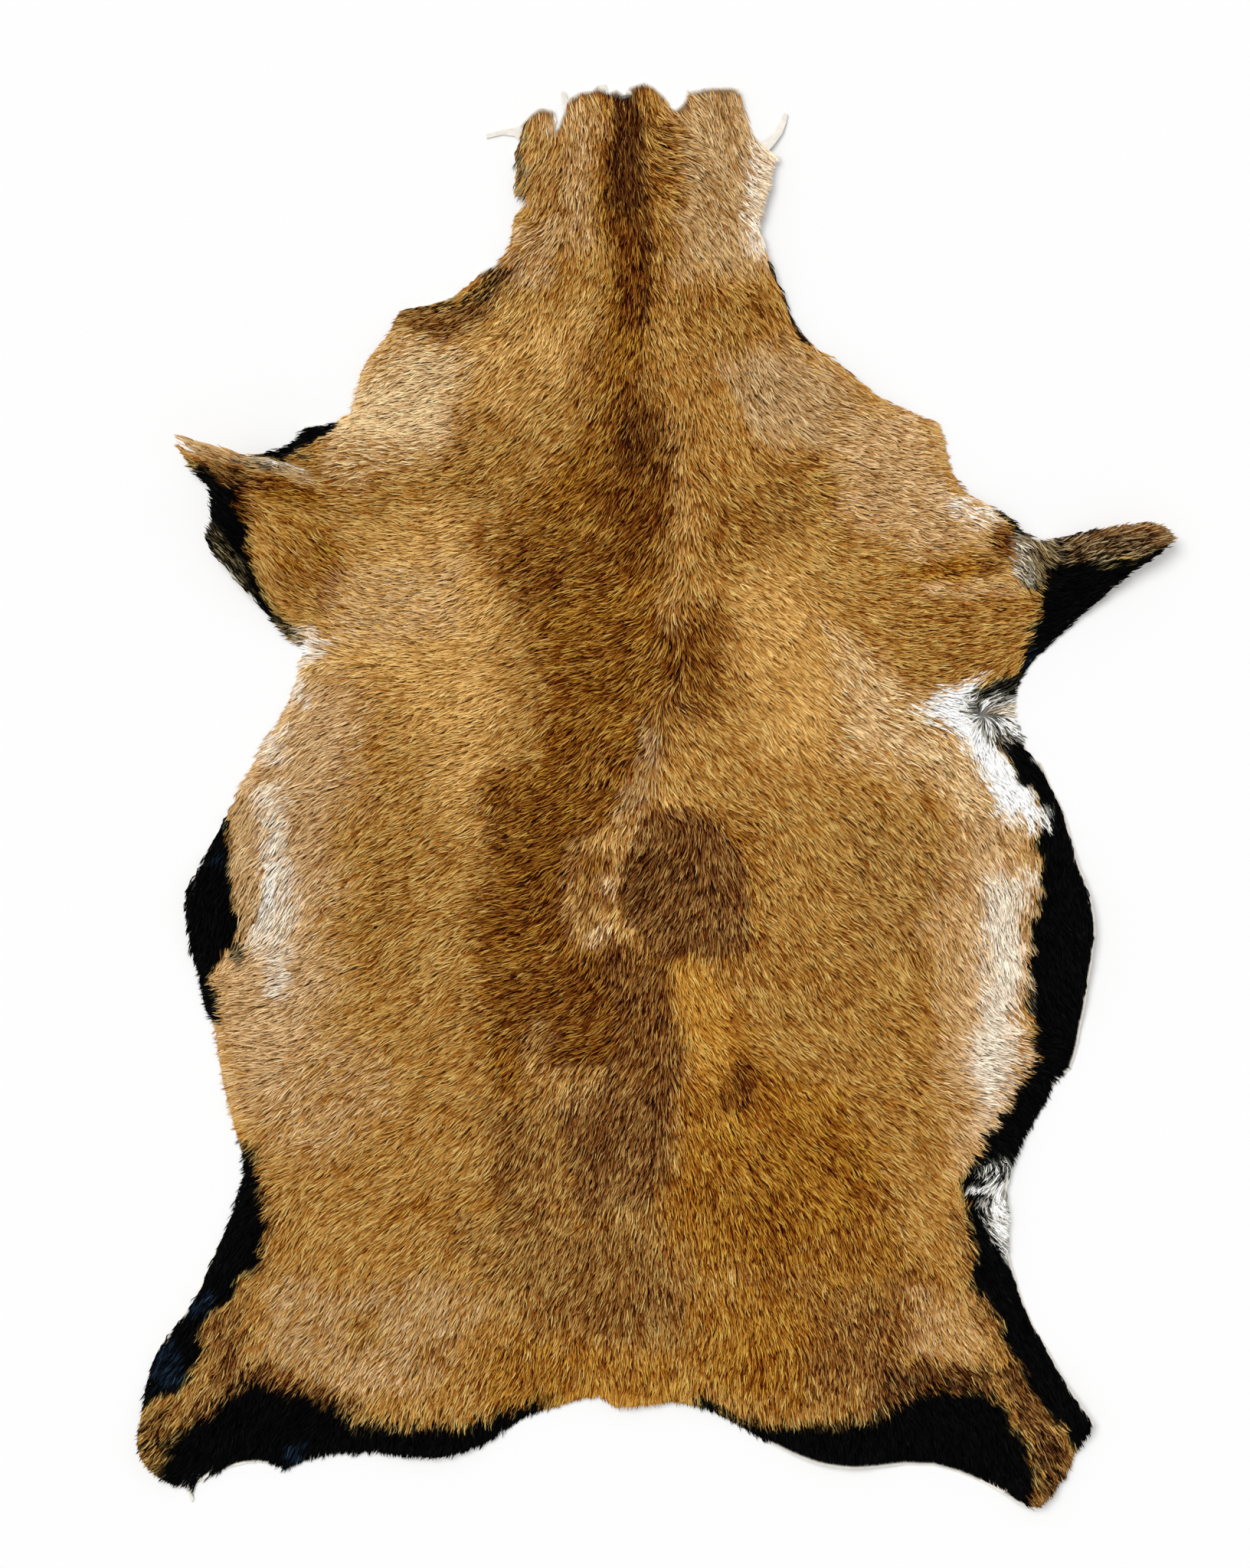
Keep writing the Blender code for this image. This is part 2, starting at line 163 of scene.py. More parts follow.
# Which way the coat lies: photograph pixel, and degrees from the right, counted towards the neck
FLOW = {
    "neck": [
        (740, 180, -92), (700, 200, -110), (700, 250, -100), (680, 230, -120), (690, 290, 205),
        (760, 300, -95), (640, 400, 228), (720, 370, 240), (770, 420, 245), (816, 160, -80),
        (816, 240, -90), (830, 300, 250), (825, 380, 240), (828, 450, 245), (845, 300, -70),
        (855, 380, -65), (858, 450, -60), (870, 180, -10), (872, 225, -14), (880, 270, -35),
        (900, 150, -60), (930, 150, -80), (915, 230, -60), (900, 330, -60), (950, 300, -75),
        (960, 210, -70), (990, 230, -15), (985, 270, -40), (995, 330, -70), (920, 420, -60),
        (1000, 400, -50), (720, 150, -85), (790, 150, -92),
    ],
    "left shoulder": [
        (560, 430, 200), (620, 400, 205), (600, 520, 200), (520, 560, 190), (450, 620, 185),
        (400, 650, 172), (350, 700, 150), (300, 640, 140), (290, 730, 130), (440, 760, 150),
        (480, 800, 165), (420, 840, 165), (500, 700, 173), (600, 700, 190), (560, 850, 172),
        (600, 900, 195), (450, 920, 205), (690, 520, 225), (260, 590, 165), (330, 612, 165),
        (390, 630, 165), (380, 575, 200), (410, 730, 140), (350, 770, 135), (400, 870, 215),
    ],
    "left flank": [
        (400, 1000, 215), (350, 1100, 235), (450, 1100, 218), (600, 1100, 205), (450, 1300, 212),
        (330, 1300, 195), (300, 1380, 185), (320, 1450, 215), (400, 1500, 218), (600, 1400, 212),
        (500, 1600, 225), (370, 1600, 235), (290, 1150, 245), (270, 1200, 250), (550, 1200, 208),
        (520, 1450, 218),
    ],
    "left hind leg": [
        (350, 1700, 240), (400, 1760, 230), (300, 1740, 245), (300, 1790, 248), (220, 1850, 225),
        (200, 1890, 215), (500, 1800, 238), (600, 1750, 240), (560, 1840, 250), (650, 1800, 245),
        (720, 1780, 260), (300, 1640, 245), (250, 1740, 238), (300, 1870, 250), (400, 1800, 235),
        (480, 1880, 262), (620, 1870, 262),
    ],
    "back, left of the parting": [
        (790, 560, 238), (750, 600, 225), (830, 700, 222), (720, 700, 196), (650, 800, 205),
        (820, 640, 240), (760, 640, 208), (700, 620, 215), (870, 600, 250), (885, 680, 252),
        (868, 760, 236), (790, 760, 196), (830, 820, 202), (760, 860, 200), (860, 880, 215),
        (790, 920, 205), (820, 960, 215), (720, 1000, 205), (760, 1060, 205), (800, 1040, 222),
        (720, 1110, 200), (680, 1180, 192), (660, 1250, 195), (700, 1230, 200), (720, 1190, 225),
        (735, 1150, 232), (700, 1300, 198), (650, 1350, 205), (800, 1300, 222), (740, 1290, 205),
        (760, 1350, 205), (690, 1370, 232), (750, 1420, 255), (830, 1420, 245), (660, 1420, 215),
        (870, 1330, 255), (845, 1290, 250), (820, 1500, 255), (740, 1550, 240), (740, 1650, 245),
        (850, 1640, 262), (850, 1780, 268), (660, 1600, 225),
    ],
    "whorl": [
        (838, 1010, 262), (830, 1060, 262), (800, 1110, 262), (770, 1140, 262), (770, 1200, 265),
        (790, 1240, 268), (830, 1160, 232), (850, 1110, 235), (880, 1090, 245), (905, 1080, 262),
        (930, 1110, 278), (955, 1150, 280), (900, 1150, 252), (870, 1210, 240), (920, 1220, 268),
        (960, 1220, 275), (860, 1040, -55), (880, 1045, -50), (830, 1210, 262),
    ],
    "back, right of the parting": [
        (950, 480, -60), (920, 600, -50), (960, 680, -32), (920, 720, -50), (905, 800, -60),
        (960, 780, -35), (930, 850, -50), (1000, 860, -40), (900, 920, -40), (940, 950, -45),
        (890, 990, -50), (930, 1040, -42), (970, 1080, -42), (990, 1130, -50), (1000, 1200, -48),
        (990, 1250, -60), (900, 1290, -62), (930, 1340, -50), (920, 1400, -55), (905, 1470, -68),
        (900, 1550, -72), (900, 1640, -80), (900, 1720, -90),
    ],
    "right shoulder": [
        (1050, 480, -35), (1000, 650, -35), (1100, 600, -15), (1150, 560, -15), (1200, 600, -10),
        (1270, 690, -8), (1000, 800, -40), (1150, 760, -10), (1250, 780, -4), (1290, 860, 12),
        (1240, 890, 15), (1400, 720, 35), (1480, 700, 20), (1345, 730, -60), (1390, 790, 20),
        (1180, 860, -8), (1300, 700, -15), (1320, 890, 45),
    ],
    "right armpit": [
        (1230, 935, -10), (1240, 960, -38), (1290, 1000, -62), (1330, 1050, -62), (1283, 926, 50),
        (1296, 915, 25), (1312, 926, 0), (1318, 940, -28), (1302, 948, -50), (1290, 950, -110),
        (1276, 936, 190), (1315, 905, 50), (1340, 990, -60),
    ],
    "right flank": [
        (1200, 990, -40), (1250, 1030, -48), (1100, 1000, -38), (1200, 1100, -45),
        (1300, 1100, -50), (1345, 1100, -80), (1320, 1200, -75), (1250, 1250, -55),
        (1332, 1377, -15), (1300, 1430, -20), (1280, 1480, -30), (1100, 1200, -40),
        (1000, 1350, -40), (1150, 1400, -38), (1390, 1150, -75), (1400, 1250, -78),
        (1360, 1440, -65), (1040, 1060, -42), (1080, 880, -40), (1340, 1280, -60),
    ],
    "right hind leg": [
        (1200, 1550, -40), (1250, 1620, -45), (1000, 1500, -50), (1100, 1650, -62),
        (1200, 1700, -65), (1280, 1750, -60), (1350, 1850, -52), (1240, 1780, -55),
        (1200, 1800, -65), (1100, 1780, -78), (1000, 1780, -86), (1290, 1660, -60),
        (1380, 1800, -60), (1100, 1880, -86), (1250, 1880, -75), (1305, 1580, -30),
        (1290, 1545, 220), (1380, 1930, -60),
    ],
}

# The coat's colours as the photograph shows them, 0 to 255
COLOURS = {
    "tan": (164, 118, 55),
    "gold": (192, 149, 84),
    "sand": (185, 150, 106),
    "cream": (210, 177, 132),
    "buff": (173, 140, 98),
    "pale": (216, 198, 178),
    "white": (244, 239, 230),
    "honey": (172, 120, 44),
    "ochre": (148, 99, 38),
    "amber": (145, 87, 20),
    "brown": (131, 73, 15),
    "dark": (105, 51, 12),
    "deep": (72, 35, 12),
    "ash": (129, 80, 32),
    "umber": (109, 60, 24),
    "drab": (120, 94, 62),
    "soot": (44, 38, 32),
    "black": (2, 2, 3),
    "sheen": (10, 15, 26),
}

# Patches of the coat, laid one over another: colour, strength, soft edge, corners. A few of them
# are painted shade in creases and under the left foreleg's fold.
PATCHES = {
    "flanks": [
        ("gold", 1.0, 90, [(440, 780), (500, 690), (580, 660), (640, 720), (650, 900), (650, 1040),
            (600, 1080), (560, 980), (500, 900), (400, 900)]),
        ("sand", 0.5, 60, [(480, 740), (600, 720), (600, 830), (500, 850)]),
        ("sand", 0.9, 90, [(390, 860), (460, 900), (460, 1050), (425, 1200), (430, 1300),
            (380, 1440), (290, 1440), (280, 1350), (290, 1100), (320, 980)]),
        ("sand", 0.5, 80, [(300, 1380), (460, 1340), (520, 1450), (440, 1520), (340, 1500)]),
        ("pale", 0.7, 26, [(346, 950), (372, 955), (372, 1000), (350, 1010)]),
        ("pale", 0.8, 34, [(338, 1040), (366, 1040), (384, 1100), (382, 1200), (370, 1300),
            (352, 1300), (342, 1250), (332, 1200), (335, 1120)]),
        ("buff", 0.8, 12, [(300, 1045), (325, 1045), (333, 1120), (330, 1200), (322, 1235),
            (305, 1210)]),
        ("pale", 0.9, 14, [(338, 1110), (354, 1126), (358, 1180), (346, 1222), (334, 1250),
            (326, 1240), (335, 1200), (335, 1160)]),
        ("white", 0.35, 14, [(344, 1126), (354, 1130), (356, 1190), (345, 1210)]),
        ("pale", 0.8, 12, [(358, 1250), (374, 1256), (370, 1296), (352, 1300)]),
        ("ochre", 0.5, 60, [(440, 1080), (540, 1090), (540, 1260), (460, 1260)]),
        ("gold", 0.8, 80, [(950, 740), (1080, 760), (1110, 900), (1080, 1000), (1010, 980),
            (960, 860)]),
        ("ochre", 0.5, 90, [(960, 1040), (1240, 1060), (1230, 1460), (1180, 1600), (1260, 1700),
            (1240, 1800), (900, 1800), (880, 1620), (930, 1300)]),
        ("ash", 0.5, 70, [(1100, 1060), (1240, 1070), (1240, 1280), (1110, 1280)]),
        ("ochre", 0.6, 70, [(1030, 1260), (1180, 1260), (1180, 1440), (1040, 1440)]),
        ("cream", 0.7, 80, [(1090, 830), (1160, 870), (1200, 920), (1250, 1000), (1190, 1020),
            (1100, 980)]),
        ("sand", 0.9, 70, [(1250, 1040), (1350, 1060), (1350, 1500), (1262, 1530), (1225, 1420),
            (1230, 1200)]),
        ("pale", 1.0, 50, [(1285, 1140), (1345, 1140), (1340, 1280), (1330, 1420), (1290, 1470),
            (1270, 1420), (1285, 1300), (1280, 1220)]),
        ("buff", 0.6, 14, [(1338, 1180), (1366, 1180), (1360, 1250), (1352, 1300), (1332, 1300),
            (1334, 1250)]),
    ],
    "neck and shoulders": [
        ("buff", 0.8, 50, [(895, 100), (1040, 100), (1020, 320), (1010, 360), (870, 370),
            (885, 250)]),
        ("pale", 0.7, 24, [(968, 170), (1025, 190), (1012, 290), (1000, 345), (972, 330),
            (975, 260)]),
        ("sand", 0.6, 50, [(700, 150), (780, 140), (790, 320), (720, 330), (690, 250)]),
        ("gold", 0.8, 80, [(600, 430), (760, 400), (770, 480), (680, 500), (600, 490)]),
        ("sand", 0.6, 30, [(650, 290), (740, 290), (720, 380), (650, 380), (640, 330)]),
        ("buff", 0.9, 80, [(940, 440), (1060, 440), (1110, 520), (1080, 600), (970, 560)]),
        ("sand", 0.8, 70, [(1080, 540), (1200, 530), (1250, 650), (1150, 700), (1090, 650)]),
        ("gold", 0.7, 50, [(540, 450), (610, 450), (700, 500), (690, 550), (590, 575)]),
        ("cream", 1.0, 90, [(455, 500), (540, 450), (610, 480), (590, 570), (500, 600),
            (430, 560)]),
        ("cream", 0.3, 40, [(440, 560), (520, 560), (560, 600), (470, 640)]),
        ("ochre", 0.8, 40, [(890, 390), (960, 380), (1000, 365), (1030, 420), (950, 470),
            (900, 450)]),
        ("ochre", 0.9, 50, [(940, 600), (1060, 590), (1090, 650), (1050, 710), (960, 730)]),
        ("ash", 0.5, 40, [(980, 630), (1060, 620), (1060, 690), (990, 700)]),
        ("ochre", 0.7, 60, [(580, 530), (660, 540), (690, 650), (620, 660), (580, 610)]),
        ("ochre", 0.5, 30, [(690, 190), (740, 180), (750, 300), (700, 290)]),
        ("umber", 0.8, 30, [(520, 402), (600, 388), (640, 345), (668, 350), (660, 385), (620, 425),
            (570, 450), (520, 430)]),
        ("black", 0.5, 14, [(530, 398), (600, 384), (636, 344), (660, 352), (640, 384), (600, 408),
            (540, 412)]),
        ("soot", 0.5, 12, [(665, 176), (686, 178), (688, 262), (668, 262)]),
        ("black", 0.8, 6, [(886, 106), (908, 106), (908, 126), (894, 126)]),
        ("black", 0.9, 5, [(1000, 345), (1012, 350), (1055, 440), (1062, 452), (1050, 446),
            (1026, 408)]),
    ],
    "back": [
        ("brown", 0.9, 70, [(790, 380), (850, 380), (862, 500), (882, 560), (896, 620), (900, 690),
            (888, 740), (872, 790), (930, 790), (960, 830), (955, 900), (930, 930), (880, 930),
            (862, 970), (845, 1020), (870, 1040), (960, 1070), (978, 1150), (975, 1250),
            (900, 1280), (900, 1400), (880, 1520), (700, 1520), (630, 1430), (615, 1300),
            (620, 1120), (690, 1030), (700, 900), (690, 780), (640, 720), (680, 640), (770, 560),
            (780, 450)]),
        ("brown", 0.9, 40, [(640, 1020), (740, 1000), (756, 1060), (738, 1160), (740, 1240),
            (636, 1250), (624, 1120)]),
        ("tan", 0.9, 16, [(868, 500), (888, 556), (904, 620), (908, 690), (896, 740), (880, 786),
            (960, 780), (1000, 640), (960, 500)]),
        ("ochre", 0.8, 50, [(910, 620), (1000, 620), (990, 740), (910, 740)]),
        ("gold", 0.4, 16, [(870, 540), (886, 556), (905, 620), (909, 690), (899, 745), (882, 800),
            (896, 836), (880, 846), (862, 796), (880, 740), (888, 690), (884, 620)]),
        ("amber", 0.9, 60, [(890, 1270), (960, 1290), (1000, 1380), (1100, 1430), (1160, 1500),
            (1130, 1620), (1000, 1680), (850, 1650), (870, 1500), (900, 1400)]),
        ("dark", 0.9, 40, [(800, 500), (862, 500), (884, 600), (880, 700), (860, 740), (790, 740),
            (780, 680), (795, 600)]),
        ("deep", 0.5, 40, [(820, 540), (868, 550), (872, 640), (815, 630)]),
        ("dark", 0.6, 40, [(660, 690), (790, 670), (800, 770), (690, 780)]),
        ("dark", 0.2, 40, [(750, 820), (900, 830), (910, 900), (860, 960), (720, 960)]),
        ("dark", 0.7, 36, [(860, 840), (930, 796), (950, 860), (924, 930), (870, 940)]),
        ("dark", 0.6, 40, [(730, 980), (830, 980), (800, 1060), (740, 1060)]),
        ("dark", 0.6, 36, [(650, 1040), (740, 1030), (740, 1100), (660, 1110)]),
        ("dark", 0.75, 50, [(630, 1060), (780, 1060), (780, 1230), (630, 1250)]),
        ("dark", 0.5, 50, [(690, 1280), (830, 1280), (830, 1400), (690, 1400)]),
        ("dark", 0.5, 40, [(640, 1130), (720, 1140), (735, 1200), (650, 1250), (630, 1190)]),
        ("buff", 0.5, 24, [(836, 950), (862, 960), (866, 1000), (856, 1060), (846, 1100),
            (806, 1110), (792, 1100), (812, 1052), (832, 1010)]),
        ("gold", 0.55, 26, [(800, 1074), (845, 1054), (836, 1100), (812, 1130), (808, 1180),
            (824, 1206), (850, 1212), (845, 1240), (790, 1252), (752, 1240), (734, 1180),
            (746, 1110)]),
        ("dark", 0.7, 12, [(755, 1122), (800, 1124), (795, 1150), (757, 1152)]),
        ("dark", 0.5, 10, [(764, 1172), (800, 1174), (796, 1188), (766, 1188)]),
        ("brown", 0.4, 30, [(744, 1110), (806, 1110), (800, 1190), (744, 1190)]),
        ("cream", 0.6, 14, [(782, 1148), (802, 1150), (802, 1176), (778, 1170)]),
        ("cream", 0.5, 14, [(818, 1192), (848, 1206), (838, 1222), (816, 1212)]),
        ("cream", 0.5, 16, [(760, 1212), (800, 1214), (796, 1248), (764, 1240)]),
        ("umber", 1.0, 16, [(850, 1066), (872, 1056), (902, 1054), (932, 1076), (956, 1100),
            (969, 1140), (974, 1180), (974, 1242), (930, 1252), (890, 1252), (866, 1264),
            (846, 1240), (830, 1215), (812, 1200), (808, 1170), (812, 1130), (830, 1096)]),
        ("deep", 0.6, 30, [(815, 1116), (866, 1100), (890, 1140), (860, 1190), (812, 1180)]),
        ("gold", 0.7, 10, [(866, 1032), (902, 1038), (902, 1052), (862, 1054)]),
        ("dark", 0.9, 40, [(640, 1270), (700, 1252), (862, 1256), (870, 1300), (888, 1344),
            (896, 1400), (780, 1400), (700, 1370), (640, 1340)]),
        ("umber", 0.7, 30, [(790, 1240), (868, 1256), (880, 1340), (896, 1400), (800, 1400)]),
        ("gold", 0.3, 24, [(690, 1330), (722, 1345), (716, 1400), (690, 1400)]),
        ("umber", 0.95, 50, [(740, 1400), (893, 1390), (878, 1440), (870, 1540), (860, 1600),
            (760, 1590), (720, 1500)]),
        ("gold", 0.4, 34, [(695, 1392), (790, 1392), (790, 1446), (695, 1450)]),
        ("ash", 0.95, 80, [(620, 1440), (720, 1440), (740, 1600), (860, 1610), (910, 1760),
            (700, 1760), (640, 1600)]),
        ("umber", 0.6, 40, [(840, 1650), (900, 1650), (900, 1730), (840, 1730)]),
        ("dark", 0.8, 24, [(945, 1390), (990, 1384), (1000, 1440), (950, 1446)]),
        ("brown", 0.7, 30, [(910, 1550), (1040, 1550), (1030, 1600), (930, 1604)]),
        ("dark", 0.7, 22, [(984, 1554), (1036, 1554), (1034, 1596), (990, 1598)]),
        ("honey", 0.8, 30, [(866, 1258), (930, 1266), (962, 1330), (950, 1400), (906, 1410),
            (890, 1330)]),
    ],
    "rump": [
        ("amber", 0.6, 24, [(500, 1570), (560, 1564), (640, 1556), (664, 1574), (640, 1602),
            (560, 1596), (510, 1592)]),
        ("ash", 0.6, 60, [(590, 1580), (700, 1580), (700, 1740), (620, 1700)]),
        ("brown", 0.85, 60, [(980, 1470), (1130, 1470), (1210, 1670), (1200, 1830), (940, 1830)]),
        ("umber", 0.6, 60, [(1080, 1680), (1190, 1670), (1190, 1790), (1160, 1830), (1040, 1820),
            (1070, 1740)]),
        ("ash", 0.6, 30, [(1010, 1670), (1060, 1668), (1060, 1712), (1010, 1712)]),
        ("amber", 0.8, 60, [(900, 1690), (1040, 1690), (1040, 1830), (900, 1830)]),
        ("buff", 0.6, 70, [(360, 1680), (560, 1680), (620, 1720), (560, 1800), (420, 1820),
            (350, 1780)]),
        ("sand", 0.6, 50, [(400, 1770), (500, 1760), (540, 1820), (460, 1830)]),
        ("amber", 0.8, 40, [(640, 1760), (900, 1770), (900, 1850), (640, 1850)]),
        ("ochre", 0.7, 24, [(440, 1720), (500, 1710), (500, 1760), (440, 1760)]),
        ("brown", 0.5, 20, [(540, 1750), (580, 1750), (580, 1782), (540, 1782)]),
        ("brown", 0.5, 24, [(650, 1756), (700, 1756), (704, 1800), (656, 1800)]),
        ("sand", 0.4, 30, [(1190, 1690), (1260, 1700), (1290, 1780), (1240, 1790), (1196, 1760)]),
        ("umber", 1.0, 40, [(1130, 1796), (1200, 1776), (1290, 1786), (1300, 1830), (1180, 1840),
            (1130, 1850)]),
        ("black", 0.4, 30, [(1150, 1800), (1210, 1780), (1290, 1790), (1300, 1830), (1160, 1850)]),
        ("umber", 0.7, 24, [(1244, 1590), (1264, 1590), (1272, 1690), (1306, 1720), (1316, 1760),
            (1296, 1766), (1262, 1706), (1248, 1660)]),
    ],
    "neck stripe": [
        ("ochre", 0.9, 30, [(840, 150), (895, 170), (905, 260), (890, 330), (870, 360),
            (846, 300)]),
        ("brown", 0.9, 30, [(786, 130), (800, 120), (860, 260), (862, 360), (856, 460), (800, 480),
            (784, 400), (790, 300)]),
        ("dark", 1.0, 18, [(798, 120), (822, 116), (840, 170), (848, 220), (858, 280), (856, 350),
            (848, 440), (812, 450), (800, 360), (797, 250)]),
        ("deep", 0.8, 18, [(797, 112), (822, 112), (838, 150), (842, 200), (852, 240), (854, 270),
            (840, 300), (816, 290), (800, 270), (797, 180)]),
        ("ochre", 0.8, 12, [(824, 104), (862, 104), (872, 150), (852, 166), (834, 140)]),
        ("deep", 0.6, 8, [(820, 120), (832, 120), (844, 172), (850, 230), (852, 300), (850, 430),
            (840, 430), (840, 300), (836, 222), (828, 178)]),
        ("ash", 0.6, 30, [(850, 160), (895, 170), (895, 220), (860, 220)]),
    ],
    "left foreleg": [
        ("cream", 0.5, 30, [(430, 560), (500, 560), (500, 620), (430, 620)]),
        ("amber", 0.5, 40, [(330, 650), (430, 650), (440, 710), (400, 760), (350, 750)]),
        # Brown under the fold's crest: painted shade under the crest
        ("brown", 0.9, 14, [(326, 626), (380, 634), (432, 650), (410, 664), (380, 662),
            (340, 652)]),
        # Brown down a crease: painted shade in the crease
        ("brown", 0.9, 20, [(404, 700), (440, 712), (452, 745), (440, 785), (416, 796), (424, 750),
            (400, 722)]),
        ("black", 1.0, 14, [(225, 578), (250, 604), (280, 608), (308, 614), (330, 624), (324, 650),
            (318, 690), (323, 720), (334, 745), (342, 775), (356, 796), (374, 810), (395, 824),
            (400, 852), (330, 810), (230, 720), (220, 640)]),
        ("umber", 0.6, 12, [(262, 606), (300, 610), (330, 620), (350, 632), (330, 650), (318, 640),
            (296, 626), (268, 616)]),
        ("dark", 0.5, 12, [(305, 640), (334, 640), (328, 690), (310, 684)]),
        ("buff", 1.0, 6, [(222, 566), (250, 570), (300, 588), (345, 602), (385, 612), (414, 628),
            (420, 642), (398, 636), (360, 624), (330, 616), (300, 609), (262, 600), (240, 586)]),
        ("soot", 0.5, 5, [(300, 600), (350, 604), (380, 616), (370, 624), (330, 614), (306, 608)]),
        ("white", 0.4, 3, [(330, 598), (350, 602), (374, 608), (400, 618), (396, 621), (370, 613),
            (346, 607), (330, 602)]),
        ("drab", 0.15, 14, [(276, 694), (296, 710), (314, 740), (330, 775), (304, 776),
            (264, 706)]),
        ("pale", 0.15, 10, [(290, 740), (302, 738), (314, 766), (304, 772)]),
        ("drab", 0.5, 14, [(364, 806), (392, 822), (400, 846), (380, 850)]),
        ("ash", 0.5, 10, [(240, 574), (290, 588), (320, 602), (290, 606), (250, 592)]),
        ("black", 1.0, 7, [(328, 603), (344, 590), (372, 570), (388, 548), (440, 545), (440, 556),
            (424, 570), (408, 582), (390, 590), (378, 600), (380, 608), (352, 604)]),
        ("soot", 0.5, 12, [(372, 596), (404, 590), (420, 600), (390, 612)]),
        ("sand", 0.5, 60, [(440, 755), (540, 750), (560, 830), (440, 850)]),
        ("pale", 0.8, 20, [(390, 818), (412, 814), (434, 840), (424, 862), (388, 872)]),
        ("white", 1.0, 6, [(388, 842), (402, 838), (406, 852), (394, 858)]),
        ("pale", 0.7, 16, [(376, 870), (400, 870), (396, 920), (370, 930)]),
    ],
    "right foreleg": [
        ("sand", 0.8, 50, [(1170, 620), (1240, 620), (1310, 680), (1290, 716), (1180, 716)]),
        ("sand", 0.5, 24, [(1200, 756), (1320, 750), (1350, 764), (1320, 786), (1210, 786)]),
        ("ochre", 0.6, 50, [(1170, 800), (1300, 780), (1330, 850), (1290, 900), (1180, 900)]),
        # Amber band along the crease at the leg's root: painted shade
        ("amber", 0.85, 24, [(1180, 732), (1280, 726), (1305, 740), (1260, 756), (1180, 758)]),
        # Dark in the crease: painted shade
        ("dark", 0.9, 20, [(1296, 690), (1324, 694), (1332, 722), (1310, 744), (1280, 748),
            (1290, 724)]),
        ("brown", 0.6, 30, [(1290, 780), (1350, 760), (1352, 800), (1300, 816)]),
        ("pale", 0.6, 26, [(1236, 634), (1280, 650), (1310, 676), (1300, 692), (1262, 692),
            (1240, 665)]),
        ("white", 0.4, 20, [(1250, 645), (1280, 655), (1304, 680), (1280, 688), (1256, 670)]),
        ("drab", 1.0, 12, [(1385, 680), (1430, 680), (1500, 670), (1540, 700), (1500, 730),
            (1415, 742), (1385, 748)]),
        ("umber", 0.55, 14, [(1340, 690), (1430, 680), (1500, 670), (1540, 700), (1500, 730),
            (1415, 742), (1350, 748)]),
        ("soot", 0.9, 14, [(1322, 692), (1396, 692), (1400, 735), (1370, 752), (1350, 776),
            (1326, 764), (1320, 738)]),
        ("pale", 0.3, 12, [(1326, 698), (1350, 704), (1360, 740), (1340, 764), (1322, 756),
            (1320, 728)]),
        ("drab", 0.5, 14, [(1350, 708), (1392, 708), (1392, 746), (1352, 766)]),
        ("black", 0.9, 4, [(1290, 650), (1318, 664), (1342, 698), (1334, 704), (1314, 680),
            (1292, 662)]),
        ("black", 0.7, 4, [(1328, 690), (1380, 694), (1400, 686), (1440, 680), (1440, 690),
            (1402, 702), (1380, 702), (1340, 702)]),
        ("black", 0.45, 14, [(1390, 704), (1440, 696), (1500, 700), (1500, 730), (1390, 734)]),
        ("black", 1.0, 16, [(1545, 700), (1522, 710), (1500, 722), (1470, 732), (1430, 728),
            (1394, 730), (1370, 742), (1358, 762), (1352, 790), (1346, 820), (1334, 850),
            (1322, 878), (1300, 905), (1340, 930), (1560, 770)]),
        ("sheen", 0.8, 10, [(1332, 862), (1350, 846), (1356, 856), (1340, 876)]),
    ],
    "right armpit": [
        ("cream", 0.8, 50, [(1215, 960), (1280, 1000), (1310, 1060), (1260, 1060), (1210, 1010)]),
        ("white", 1.0, 32, [(1200, 930), (1232, 912), (1280, 890), (1310, 940), (1318, 985),
            (1330, 1010), (1350, 1040), (1368, 1060), (1356, 1082), (1318, 1072), (1298, 1046),
            (1280, 1004), (1256, 970), (1232, 950)]),
        ("soot", 1.0, 12, [(1262, 932), (1276, 902), (1300, 888), (1345, 876), (1345, 990),
            (1320, 990), (1292, 972), (1276, 952)]),
        ("black", 0.6, 14, [(1286, 896), (1312, 884), (1340, 876), (1340, 902), (1300, 912)]),
        ("white", 0.5, 14, [(1262, 932), (1290, 912), (1345, 905), (1345, 975), (1304, 972),
            (1276, 952)]),
        ("pale", 0.8, 5, [(1290, 924), (1328, 918), (1330, 934), (1300, 934)]),
    ],
    "black edges": [
        ("black", 1.0, 10, [(300, 1048), (297, 1080), (300, 1109), (298, 1150), (300, 1184),
            (313, 1200), (308, 1235), (294, 1250), (284, 1262), (277, 1276), (277, 1290),
            (283, 1304), (286, 1340), (200, 1340), (200, 1150), (280, 1030)]),
        ("sheen", 0.8, 10, [(278, 1116), (290, 1118), (288, 1130), (276, 1128)]),
        ("black", 0.8, 6, [(298, 1236), (312, 1230), (322, 1246), (314, 1264), (300, 1256)]),
        ("umber", 0.6, 18, [(328, 1530), (354, 1560), (354, 1650), (334, 1668)]),
        ("umber", 0.75, 36, [(255, 1790), (280, 1720), (300, 1690), (322, 1690), (330, 1780),
            (290, 1818), (250, 1845), (220, 1864)]),
        ("black", 1.0, 18, [(300, 1486), (322, 1498), (336, 1516), (341, 1560), (340, 1600),
            (339, 1640), (331, 1668), (308, 1680), (298, 1704), (280, 1714), (270, 1740),
            (262, 1765), (250, 1792), (234, 1812), (214, 1822), (186, 1848), (100, 1853),
            (150, 1700)]),
        ("umber", 0.9, 30, [(240, 1840), (270, 1808), (310, 1786), (360, 1786), (400, 1808),
            (460, 1826), (480, 1850), (240, 1870)]),
        ("black", 1.0, 30, [(205, 1897), (225, 1872), (250, 1846), (266, 1828), (292, 1812),
            (318, 1806), (346, 1806), (366, 1822), (396, 1832), (425, 1834), (448, 1848),
            (462, 1861), (500, 1863), (560, 1868), (602, 1862), (650, 1845), (690, 1829),
